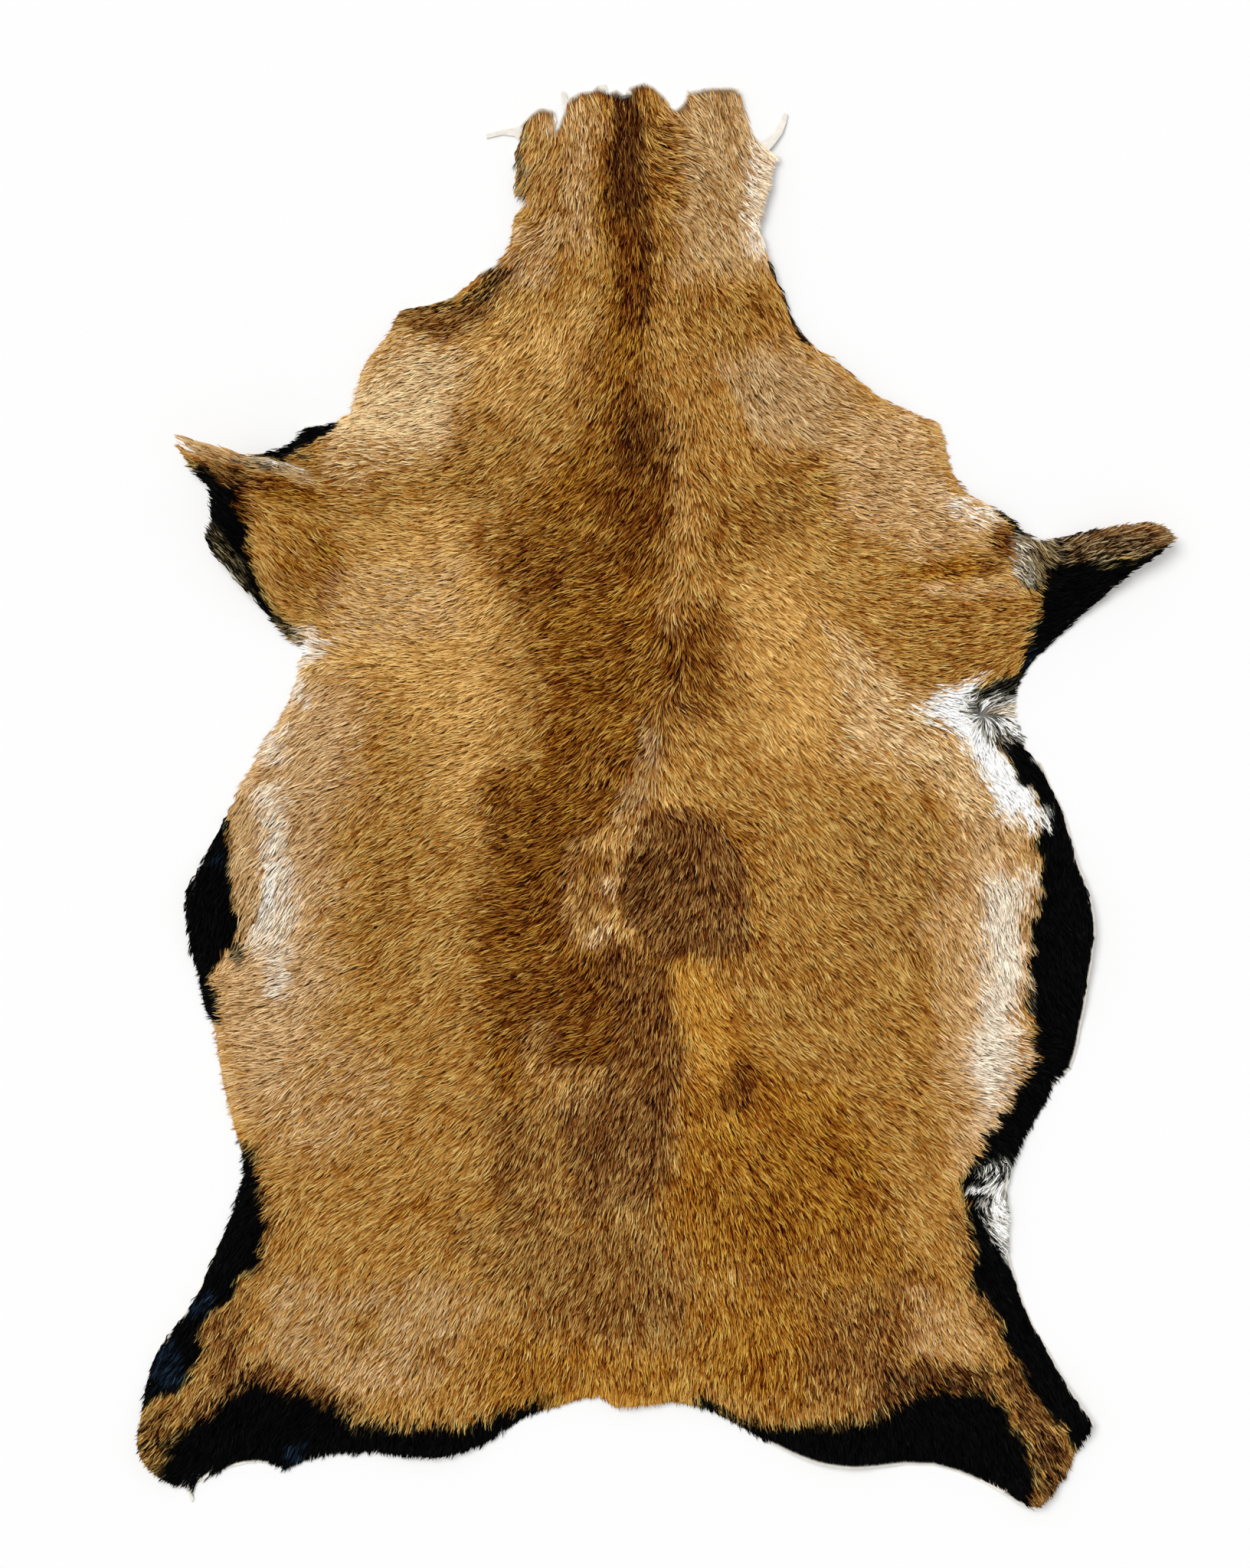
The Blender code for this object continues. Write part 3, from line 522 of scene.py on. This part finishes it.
            (706, 1822), (725, 1837), (725, 1990), (200, 1990), (196, 1920)]),
        ("ash", 0.9, 16, [(165, 1850), (205, 1835), (235, 1820), (246, 1840), (225, 1866),
            (206, 1890), (206, 1925), (170, 1925)]),
        ("black", 0.5, 24, [(176, 1850), (230, 1838), (220, 1890), (206, 1930), (170, 1925)]),
        ("sheen", 0.9, 14, [(200, 1745), (235, 1745), (235, 1800), (205, 1810)]),
        ("sheen", 0.9, 12, [(252, 1692), (274, 1692), (270, 1716), (252, 1716)]),
        ("sheen", 0.8, 12, [(372, 1886), (402, 1886), (400, 1912), (374, 1912)]),
        ("black", 1.0, 26, [(874, 1830), (942, 1842), (1000, 1856), (1050, 1860), (1100, 1853),
            (1150, 1842), (1180, 1822), (1202, 1812), (1235, 1814), (1262, 1812), (1290, 1816),
            (1304, 1834), (1316, 1852), (1330, 1878), (1345, 1900), (1356, 1930), (1358, 1965),
            (1340, 2010), (874, 2010)]),
        ("black", 1.0, 18, [(1256, 1550), (1263, 1600), (1270, 1634), (1262, 1660), (1266, 1690),
            (1290, 1706), (1304, 1730), (1309, 1760), (1325, 1788), (1340, 1818), (1360, 1850),
            (1384, 1874), (1398, 1896), (1450, 1900), (1450, 1700), (1300, 1540)]),
        ("umber", 1.0, 16, [(1296, 1790), (1326, 1780), (1362, 1850), (1400, 1900), (1400, 1970),
            (1350, 1975), (1356, 1920), (1332, 1870)]),
        ("black", 0.35, 24, [(1290, 1790), (1326, 1780), (1362, 1850), (1336, 1880)]),
        ("black", 0.5, 20, [(1330, 1880), (1362, 1856), (1400, 1900), (1400, 1960), (1356, 1975),
            (1350, 1920)]),
        ("black", 1.0, 10, [(1338, 960), (1318, 984), (1322, 1000), (1335, 1028), (1352, 1040),
            (1363, 1058), (1359, 1080), (1356, 1110), (1359, 1140), (1356, 1180), (1350, 1210),
            (1345, 1250), (1342, 1290), (1349, 1320), (1357, 1345), (1350, 1380), (1343, 1402),
            (1328, 1430), (1308, 1462), (1292, 1490), (1270, 1520), (1256, 1550), (1300, 1580),
            (1480, 1400), (1480, 1100), (1350, 940)]),
        ("soot", 0.8, 6, [(1338, 1292), (1352, 1298), (1352, 1326), (1342, 1322)]),
        ("white", 0.6, 8, [(1354, 1054), (1374, 1058), (1376, 1086), (1360, 1082)]),
        ("white", 0.3, 14, [(1280, 1528), (1312, 1516), (1320, 1545), (1284, 1548)]),
        ("white", 0.75, 12, [(1292, 1548), (1320, 1542), (1322, 1600), (1320, 1646), (1308, 1622),
            (1296, 1590)]),
        ("white", 0.25, 10, [(1278, 1570), (1294, 1574), (1302, 1604), (1314, 1640), (1302, 1630),
            (1286, 1600)]),
        ("white", 0.9, 4, [(1258, 1552), (1292, 1553), (1292, 1562), (1262, 1561)]),
    ],
}

# Torn strips and nicks of plain skin without hair
BARE = [
    [(620, 145), (684, 150), (684, 184), (672, 190), (620, 195)],
    [(728, 116), (745, 120), (738, 142), (732, 160), (716, 174), (711, 168), (724, 148)],
    [(774, 104), (794, 104), (794, 117), (776, 118)],
    [(798, 112), (824, 116), (822, 124), (800, 122)],
    [(998, 135), (1040, 135), (1036, 168), (1012, 194), (990, 202), (992, 190)],
    [(680, 250), (694, 250), (692, 264), (680, 264)],
    [(240, 1934), (262, 1934), (262, 1975), (240, 1975)],
    [(262, 1922), (290, 1914), (292, 1924), (264, 1940)],
    [(300, 1906), (340, 1906), (340, 1918), (300, 1918)],
    [(1280, 1926), (1312, 1944), (1308, 1956), (1278, 1940)],
]

# Stretches of rim where the hair stops short of the skin's edge
SHORN = [
    [(1335, 970), (1380, 970), (1450, 1180), (1440, 1410), (1390, 1410), (1400, 1150),
        (1360, 1030)],
    [(1310, 1636), (1350, 1636), (1430, 1800), (1430, 1830), (1385, 1830), (1320, 1700)],
    [(1000, 1870), (1060, 1890), (1130, 1902), (1200, 1898), (1290, 1920), (1350, 1960),
        (1330, 1990), (1000, 1960)],
    [(300, 1900), (350, 1900), (350, 1930), (300, 1930)],
]


def from_photo(pixels):
    """World x and y, in metres, of photograph pixels."""
    return (np.asarray(pixels, float) - MIDDLE_PIXEL) * (PIXEL, -PIXEL)


def to_photo(points):
    """Photograph pixels of world x and y."""
    return points / (PIXEL, -PIXEL) + MIDDLE_PIXEL


def rows_of(table):
    """The rows of all the groups of a table, in order."""
    return [row for group in table.values() for row in group]


def smoothstep(value):
    """From 0 to 1 with a soft start and end."""
    value = np.clip(value, 0.0, 1.0)
    return value * value * (3.0 - 2.0 * value)


def linear(colour):
    """A colour of 0 to 255 as the eye sees it, turned into amounts of light."""
    return (np.asarray(colour, float) / 255.0) ** 2.2


def level_ways(angles):
    """Level directions at the given angles."""
    return np.stack([np.cos(angles), np.sin(angles)], axis=1)


def level_side(way):
    """The level direction to the left of each way."""
    side = np.stack([-way[:, 1], way[:, 0]], axis=1)
    return side / np.maximum(np.linalg.norm(side, axis=1, keepdims=True), 1e-9)


def blend_corners(values, cell, share):
    """Values between four neighbours of a grid, by each point's share of the way across a cell."""
    i, j = cell.T
    u, v = share.T
    if values.ndim > 2:
        u, v = u[:, None], v[:, None]
    near = values[i, j] * (1 - u) + values[i + 1, j] * u
    far = values[i, j + 1] * (1 - u) + values[i + 1, j + 1] * u
    return near * (1 - v) + far * v


def noise(points, size, seed, channels=1):
    """Smooth random numbers from -1 to 1 over the floor, in lumps of about the given size."""
    across = int(2 * NOISE_REACH / size) + 3
    values = np.random.default_rng(seed).uniform(-1.0, 1.0, (across, across, channels))
    place = (points + NOISE_REACH) / size
    cell = np.clip(np.floor(place).astype(int), 0, across - 2)
    found = blend_corners(values, cell, smoothstep(place - cell))
    return found[:, 0] if channels == 1 else found


def welded(node):
    """A CAD node's mesh with the corners that lie on each other joined."""
    mesh = bmesh.new()
    mesh.from_mesh(node.data)
    bmesh.ops.remove_doubles(mesh, verts=mesh.verts[:], dist=1e-6)
    return mesh


def plumb(tree, x, y, start, down):
    """Where a plumb line first meets the mesh, or None. It can slip through just on an edge."""
    for aside in (0.0, 0.0001):
        hit = tree.ray_cast(Vector((x + aside, y + aside / 3, start)), Vector((0, 0, down)))[0]
        if hit:
            return hit.z
    return None


class HideMap:
    """The CAD hide seen from above: its top, its underside and how far outside its rim one is."""

    def __init__(self, node):
        mesh = welded(node)
        tree = BVHTree.FromBMesh(mesh)
        rim = self.rim_points(mesh)
        mesh.free()
        low, high = (np.array(corner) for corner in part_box(node.name))
        self.corner = low[:2] - GRID_MARGIN
        count = np.ceil((high[:2] + GRID_MARGIN - self.corner) / GRID_STEP).astype(int) + 2
        self.top = np.zeros(count)
        self.under = np.zeros(count)
        self.outside = np.zeros(count)
        for cell in np.ndindex(*count):
            x, y = self.corner + np.array(cell) * GRID_STEP
            away = rim.find(Vector((x, y, 0.0)))[2]
            top = plumb(tree, x, y, PLUMB_START, -1)
            self.outside[cell] = away if top is None else -away
            if top is not None:
                self.top[cell] = top
                self.under[cell] = plumb(tree, x, y, -PLUMB_START, 1) or 0.0
        self.top = self.spread(self.top)
        self.under = self.spread(self.under)

    def rim_points(self, mesh):
        """Points close together along the rim as seen from above, to find the nearest of."""
        mesh.normal_update()
        points = []
        for edge in mesh.edges:
            upright = [abs(face.normal.z) < 0.2 for face in edge.link_faces]
            if any(upright) and not all(upright):
                first, last = (Vector((v.co.x, v.co.y, 0.0)) for v in edge.verts)
                steps = max(1, int((last - first).length / RIM_POINT_GAP))
                points += [first.lerp(last, k / steps) for k in range(steps)]
        tree = KDTree(len(points))
        for number, point in enumerate(points):
            tree.insert(point, number)
        tree.balance()
        return tree

    def spread(self, grid):
        """Carries the heights at the rim outwards, sinking a little, for what overhangs it."""
        empty = self.outside > 0.0
        for _ in range(int(GRID_MARGIN / GRID_STEP)):
            padded = np.pad(grid, 1)
            beside = np.max([padded[2:, 1:-1], padded[:-2, 1:-1], padded[1:-1, 2:],
                             padded[1:-1, :-2]], axis=0)
            grid = np.where(empty, np.maximum(grid, beside - OVERHANG_SINK), grid)
        return grid

    def read(self, grid, points):
        """The values of a grid at points between its own."""
        place = (points - self.corner) / GRID_STEP
        cell = np.clip(np.floor(place).astype(int), 0, np.array(grid.shape) - 2)
        return blend_corners(grid, cell, np.clip(place - cell, 0.0, 1.0))

    def top_at(self, points):
        return self.read(self.top, points)

    def under_at(self, points):
        return self.read(self.under, points)

    def outside_at(self, points):
        return self.read(self.outside, points)

    def way_out(self, points):
        """The level direction straight out over the nearest rim."""
        east, north = (0.002, 0.0), (0.0, 0.002)
        east = self.outside_at(points + east) - self.outside_at(points - east)
        north = self.outside_at(points + north) - self.outside_at(points - north)
        way = np.stack([east, north], axis=1)
        return way / np.maximum(np.linalg.norm(way, axis=1, keepdims=True), 1e-9)


def coat_angle(points):
    """The angle that the coat lies at, from FLOW, with small waves of its own."""
    table = np.array(rows_of(FLOW), float)
    places = from_photo(table[:, :2])
    ways = level_ways(np.radians(table[:, 2]))
    softness = 0.010
    at_once = 20_000
    found = np.zeros((len(points), 2))
    for start in range(0, len(points), at_once):
        part = points[start : start + at_once]
        away = ((part[:, None] - places[None]) ** 2).sum(axis=2)
        found[start : start + at_once] = (1.0 / (away + softness**2) ** 2) @ ways
    wave = 0.16 * noise(points, size=0.030, seed=11)
    wave += 0.22 * noise(points, size=0.011, seed=12)
    return np.arctan2(found[:, 1], found[:, 0]) + wave


def inside_patch(pixels, corners):
    """Distance in pixels from a patch's border, above 0 inside it."""
    corners = np.asarray(corners, float)
    inside = np.zeros(len(pixels), bool)
    away = np.full(len(pixels), 1e9)
    for a, b in zip(corners, np.roll(corners, -1, axis=0)):
        side = b - a
        along = np.clip((pixels - a) @ side / (side @ side), 0.0, 1.0)
        away = np.minimum(away, np.linalg.norm(pixels - a - along[:, None] * side, axis=1))
        if a[1] != b[1]:
            crosses = (a[1] > pixels[:, 1]) != (b[1] > pixels[:, 1])
            reach = a[0] + (pixels[:, 1] - a[1]) / (b[1] - a[1]) * (b[0] - a[0])
            inside ^= crosses & (pixels[:, 0] < reach)
    return np.where(inside, away, -away)


def inside_any(points, areas):
    """Whether each point lies in any of the areas."""
    pixels = to_photo(points)
    return np.any([inside_patch(pixels, corners) > 0 for corners in areas], axis=0)


def coat_colour(points, luck=0.5):
    """The coat's colour in light amounts, patch over patch, their borders ragged as hair is.

    Each lock's luck, from 0 to 1, says which side it falls on where two colours mix.
    """
    pixels = to_photo(points)
    broad = noise(points, size=0.028, seed=21, channels=2) * BROAD_RAGGED
    fine = noise(points, size=0.007, seed=22, channels=2) * FINE_RAGGED
    colour = np.tile(linear(COLOURS["tan"]), (len(points), 1))
    for name, strength, edge, corners in rows_of(PATCHES):
        ragged = pixels + fine * min(1.0, edge / FINE_EDGE) + broad * min(1.0, edge / BROAD_EDGE)
        share = strength * smoothstep(0.5 + inside_patch(ragged, corners) / edge)
        share = smoothstep(share + MIX_SHARPNESS * (luck - 0.5) * share * (1.0 - share))
        colour += (linear(COLOURS[name]) - colour) * share[:, None]
    return colour


def contrast(base):
    """How much more locks differ in a dark coat, in their own tone and in painted shade and light,
    whose light tips show against dark roots.
    """
    tan = linear(COLOURS["tan"])[1]
    return np.clip(1.0 + CONTRAST_GROWTH * np.log(tan / base[:, 1]), *CONTRAST_RANGE)


def shaded(base, shade):
    """The base colour made lighter or darker by shade, the painted shade and light as well as the
    locks' own tone, as hair is: by more or less pigment.

    Pale hair has little of it, and only turns greyer.
    """
    pigment = -np.log(np.clip(base, 1e-5, 0.95))
    green = pigment[..., 1:2]
    reach = 1.0 - LEAST_PIGMENT
    more = reach * (np.exp(-shade[..., None] / (reach * np.maximum(green, PALE_PIGMENT))) - 1.0)
    warm = np.where(more > 0.0, WARM_DARKS, WARM_LIGHTS)
    grey = green / pigment
    warmth = np.clip((green - NEUTRAL_PIGMENT) / PIGMENT_SPAN, 0.0, 1.0)
    return np.exp(-pigment * (1.0 + more * (grey + (warm - grey) * warmth)))


def new_mesh_object(name, corners, faces, colours):
    """An object of triangles with a colour for each corner point, mapped as seen from above."""
    mesh = bpy.data.meshes.new(name)
    mesh.vertices.add(len(corners))
    mesh.vertices.foreach_set("co", corners.astype(np.float32).ravel())
    mesh.loops.add(faces.size)
    mesh.loops.foreach_set("vertex_index", faces.astype(np.int32).ravel())
    mesh.polygons.add(len(faces))
    mesh.polygons.foreach_set("loop_start", np.arange(0, faces.size, 3, dtype=np.int32))
    mesh.update(calc_edges=True)
    mesh.polygons.foreach_set("use_smooth", np.ones(len(faces), bool))
    paint = mesh.color_attributes.new("coat", "BYTE_COLOR", "POINT")
    rgba = np.concatenate([np.clip(colours, 0.0, 1.0), np.ones((len(colours), 1))], axis=1)
    paint.data.foreach_set("color", rgba.astype(np.float32).ravel())
    low = corners[:, :2].min(axis=0)
    span = corners[:, :2].max(axis=0) - low
    flat = ((corners[:, :2] - low) / span)[faces.ravel()]
    mesh.uv_layers.new(name="OFBake").uv.foreach_set("vector", flat.astype(np.float32).ravel())
    piece = bpy.data.objects.new(name, mesh)
    bpy.context.scene.collection.objects.link(piece)
    return piece


def root_places(hide):
    """Even but irregular places for the locks, inside the rim."""
    area = (hide.outside < 0).sum() * GRID_STEP**2
    step = math.sqrt(area / LOCKS)
    count = (np.array(hide.outside.shape) * GRID_STEP / step).astype(int)
    cells = np.stack(np.meshgrid(np.arange(count[0]), np.arange(count[1]), indexing="ij"), axis=2)
    cells = cells.reshape(-1, 2) + np.random.default_rng(1).uniform(0, 1, (count[0] * count[1], 2))
    points = hide.corner + cells * step
    points = points[hide.outside_at(points) < -ROOT_INSET]
    return points[~inside_any(points, BARE)]


def clumps(points):
    """Which clump each lock belongs to, and the clumps' middles."""
    bent = points + noise(points, size=0.006, seed=31, channels=2) * CLUMP_RAGGED
    # A metre aside, so that no cell has a number below 0
    column, row = np.floor((bent + 1.0) / CLUMP_SIZE).astype(int).T
    _, member = np.unique(column * 10_000 + row, return_inverse=True)
    size = np.bincount(member)
    middles = np.stack([np.bincount(member, points[:, k]) / size for k in (0, 1)], axis=1)
    return member, middles


def combed(hide, roots, member, middles, clump_length, random):
    """Where the locks' roots and tips lie: along the coat, drawn into clumps, within the rim."""
    count = len(roots)
    angle = coat_angle(roots) + random.normal(0.0, ANGLE_SPREAD, count)
    length = random.uniform(*LOCK_LENGTH, count) * clump_length[member]
    tips = roots + level_ways(angle) * length[:, None]
    meeting = middles[member] + level_ways(coat_angle(middles))[member] * length[:, None]
    tips += (meeting - tips) * random.uniform(0.0, CLUMP_MEETING, count)[:, None]
    spare = np.minimum(random.exponential(TIP_REACH, count), MOST_TIP_REACH)
    spare = np.where(inside_any(tips, SHORN), SHORN_REACH, spare)
    over = np.maximum(hide.outside_at(tips) - spare, 0.0)
    back = hide.way_out(tips) * over[:, None]
    return roots - back, tips - back


def centre_line(hide, roots, tips, lift, random):
    """Points along the middle of each lock, one row of points for each station along it."""
    way = tips - roots
    side = level_side(way)
    bow = random.normal(0.0, BOW, len(roots))
    bow += SHARED_BOW * noise(roots, size=0.005, seed=32)
    wave = random.normal(0.0, WAVE, len(roots))
    wave += SHARED_WAVE * noise(roots, size=0.004, seed=36)
    lines = []
    for along in LOCK_CORNERS[:, 0]:
        turn = math.pi * along
        aside = bow * math.sin(turn) + wave * math.sin(2 * turn)
        ground = roots + way * along + side * aside[:, None]
        skin_top = hide.under_at(ground) + SKIN_THICK
        depth = np.maximum(hide.top_at(ground) - skin_top, 0.0)
        height = skin_top + depth * (1.0 - (1.0 - along) ** 2)
        lifted = np.clip(depth / FULL_LIFT_DEPTH, LEAST_LIFT_SHARE, 1.0)
        height += lift * min(1.0, along / FULL_LIFT_ALONG) * lifted
        lines.append(np.column_stack([ground, height]))
    return np.stack(lines, axis=1)


def build_coat(hide):
    """The locks' six corners each, and the colour of every corner."""
    random = np.random.default_rng(2)
    roots = root_places(hide)
    count = len(roots)
    member, middles = clumps(roots)
    clump_shade = random.normal(0.0, CLUMP_SPREAD, len(middles))
    clump_length = random.uniform(*CLUMP_LENGTH, len(middles))
    roots, tips = combed(hide, roots, member, middles, clump_length, random)

    relief = RELIEF * noise(roots, size=0.016, seed=33)
    relief += RELIEF * noise(roots, size=0.0075, seed=35)
    top = random.uniform(0.0, 1.0, count) < TOP_SHARE
    lift = random.uniform(*LIFT, count) + np.where(top, TOP_LIFT, 0.0)
    lift += RELIEF_LIFT * relief
    lift += CLUMP_LIFT * clump_shade[member] / CLUMP_SPREAD
    centre = centre_line(hide, roots, tips, lift, random)

    side = level_side(tips - roots)
    roll = random.normal(0.0, ROLL_SPREAD, count)
    across = np.column_stack([side * np.cos(roll)[:, None], np.sin(roll)])
    width = random.uniform(*LOCK_WIDTH, count) * np.where(top, TOP_WIDTH, 1.0)
    across *= width[:, None] * 0.5
    corners = centre + across[:, None] * LOCK_CORNERS[:, 1:2]
    corners[:, :, 2] = np.maximum(corners[:, :, 2], LEAST_HEIGHT)

    # LIFT_SHADE: painted light on the higher locks and painted shade on the lower ones; the rest
    # is the locks' own tone
    shade = random.normal(0.0, LOCK_SPREAD, count) + clump_shade[member] + LIFT_SHADE * lift
    # Locks on top lighter: painted light on the top of the coat
    shade += np.where(top, TOP_SHADE, 0.0)
    # Lighter on the coat's swells and darker in their hollows: painted light and shade; the broad
    # noise is the coat's own tone
    shade += SWELL_SHADE * relief + BROAD_SPREAD * noise(roots, size=0.030, seed=34)
    # Dark roots and light tips: partly the hair's own colour, partly painted shade deep in the
    # coat
    shade = shade[:, None] + np.log(LOCK_CORNERS[:, 2])
    # The higher edge of each lock lighter, the lower edge darker: painted light and shade
    shade += EDGE_SHADE * np.sign(roll)[:, None] * LOCK_CORNERS[:, 1]
    base = coat_colour(centre[:, COLOUR_CORNER, :2], random.uniform(0.0, 1.0, count))
    colours = shaded(base[:, None], contrast(base)[:, None] * shade) * COAT_GAIN
    return corners, colours


def new_material(name):
    """A material, its nodes, links and shader, and a node that reads the painted colours."""
    material = bpy.data.materials.new(name)
    material.use_nodes = True
    nodes, links = material.node_tree.nodes, material.node_tree.links
    paint = nodes.new("ShaderNodeVertexColor")
    paint.layer_name = "coat"
    return material, nodes, links, nodes["Principled BSDF"], paint


def coat_material():
    """Hair: the locks' own colours, a soft sheen and no gloss to speak of."""
    material, _, links, shader, paint = new_material("coat hair")
    links.new(paint.outputs["Color"], shader.inputs["Base Color"])
    shader.inputs["Roughness"].default_value = 0.6
    shader.inputs["Specular IOR Level"].default_value = 0.04
    return material


def skin_material():
    """The tanned skin: pale leather with a fine grain, and hair roots on its upper side, darkened
    partly as painted shade under the coat.
    """
    material, nodes, links, shader, paint = new_material("tanned skin")
    place = nodes.new("ShaderNodeTexCoord")
    grain = nodes.new("ShaderNodeTexNoise")
    grain.inputs["Scale"].default_value = 260.0
    grain.inputs["Detail"].default_value = 4.0
    shades = nodes.new("ShaderNodeMapRange")
    shades.inputs["To Min"].default_value = 0.75
    shades.inputs["To Max"].default_value = 1.2
    tint = nodes.new("ShaderNodeVectorMath")
    tint.operation = "SCALE"
    bump = nodes.new("ShaderNodeBump")
    bump.inputs["Distance"].default_value = 0.0004
    bump.inputs["Strength"].default_value = 0.5
    links.new(place.outputs["Object"], grain.inputs["Vector"])
    links.new(grain.outputs["Fac"], shades.inputs["Value"])
    links.new(paint.outputs["Color"], tint.inputs[0])
    links.new(shades.outputs["Result"], tint.inputs["Scale"])
    links.new(tint.outputs["Vector"], shader.inputs["Base Color"])
    links.new(grain.outputs["Fac"], bump.inputs["Height"])
    links.new(bump.outputs["Normal"], shader.inputs["Normal"])
    shader.inputs["Roughness"].default_value = 0.8
    return material


def build_skin(node, hide):
    """The tanned skin under the coat: a closed sheet that follows the CAD hide's lifts."""
    bm = welded(node)
    bmesh.ops.subdivide_edges(bm, edges=bm.edges[:], cuts=2, use_grid_fill=True)
    bmesh.ops.triangulate(bm, faces=bm.faces[:])
    bm.verts.index_update()
    points = np.array([v.co for v in bm.verts])
    faces = np.array([[v.index for v in f.verts] for f in bm.faces])
    bm.free()
    ground = points[:, :2]
    under, top = hide.under_at(ground), hide.top_at(ground)
    upper = (points[:, 2] - under) / (top - under) > 0.5
    points[:, 2] = np.where(upper, under + SKIN_THICK, points[:, 2])
    leather = linear(LEATHER)
    # The roots under the coat: their own colour darkened, partly as painted shade in the gaps
    # between locks
    roots = coat_colour(ground) * ROOT_TONE_AND_SHADE
    hairy = smoothstep((-hide.outside_at(ground) - ROOTS_START) / ROOTS_FADE) * upper
    hairy *= ~inside_any(ground, BARE)
    colours = leather + (roots - leather) * hairy[:, None]
    return new_mesh_object("tanned_skin", points, faces, colours)


def split_coat(corners, colours, material):
    """The coat as five pieces of the same number of locks, from the neck to the rump."""
    names = ["coat_neck", "coat_shoulders", "coat_back", "coat_flanks", "coat_rump"]
    order = np.argsort(-corners[:, 0, 1], kind="stable")
    pieces = []
    for name, chosen in zip(names, np.array_split(order, len(names))):
        first = np.arange(len(chosen)) * len(LOCK_CORNERS)
        faces = (first[:, None, None] + LOCK_FACES).reshape(-1, 3)
        piece = new_mesh_object(name, corners[chosen].reshape(-1, 3), faces,
                                colours[chosen].reshape(-1, 3))
        piece.data.materials.append(material)
        pieces.append(piece)
    return pieces


def build_floor():
    """A white floor, as wide as anything that the camera sees."""
    bpy.ops.mesh.primitive_plane_add(size=8.0, location=(0, 0, 0))
    floor = bpy.context.object
    floor.name = "floor"
    paper = bpy.data.materials.new("white floor")
    paper.use_nodes = True
    shader = paper.node_tree.nodes["Principled BSDF"]
    shader.inputs["Base Color"].default_value = (FLOOR_GREY, FLOOR_GREY, FLOOR_GREY, 1)
    shader.inputs["Roughness"].default_value = 0.9
    floor.data.materials.append(paper)


def build_light(scene):
    """A white sky, and a broad soft sun."""
    world = bpy.data.worlds.new("soft light")
    world.use_nodes = True
    sky = world.node_tree.nodes["Background"]
    sky.inputs["Color"].default_value = (1, 1, 1, 1)
    sky.inputs["Strength"].default_value = SKY_STRENGTH
    scene.world = world
    lamp = bpy.data.lights.new("window", "SUN")
    lamp.energy = SUN_STRENGTH
    lamp.angle = math.radians(SUN_DEGREES)
    sun = bpy.data.objects.new("window", lamp)
    sun.rotation_euler = Vector(SUN_FROM).to_track_quat("Z", "Y").to_euler()
    scene.collection.objects.link(sun)


def build_camera(scene):
    """The camera, straight above the middle of the photograph."""
    lens = bpy.data.cameras.new("camera")
    lens.sensor_width = 36.0
    lens.lens = lens.sensor_width * CAMERA_HEIGHT / (PHOTO_SIZE[1] * PIXEL)
    camera = bpy.data.objects.new("camera", lens)
    x, y = from_photo((PHOTO_SIZE[0] / 2, PHOTO_SIZE[1] / 2))
    camera.location = (x, y, CAMERA_HEIGHT)
    scene.collection.objects.link(camera)
    scene.camera = camera


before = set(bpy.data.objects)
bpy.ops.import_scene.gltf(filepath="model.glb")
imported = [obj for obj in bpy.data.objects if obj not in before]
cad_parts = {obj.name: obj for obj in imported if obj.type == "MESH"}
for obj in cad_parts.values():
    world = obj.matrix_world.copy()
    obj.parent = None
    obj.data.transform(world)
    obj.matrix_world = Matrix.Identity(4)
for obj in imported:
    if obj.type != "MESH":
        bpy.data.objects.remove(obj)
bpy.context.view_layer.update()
scene = bpy.context.scene
scene.view_settings.view_transform = "Standard"
build_floor()
build_light(scene)
build_camera(scene)

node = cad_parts["hide"]
hide = HideMap(node)
skin = build_skin(node, hide)
skin.data.materials.append(skin_material())
pieces = split_coat(*build_coat(hide), coat_material())
for piece in [skin] + pieces:
    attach(piece, "root")
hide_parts("hide")
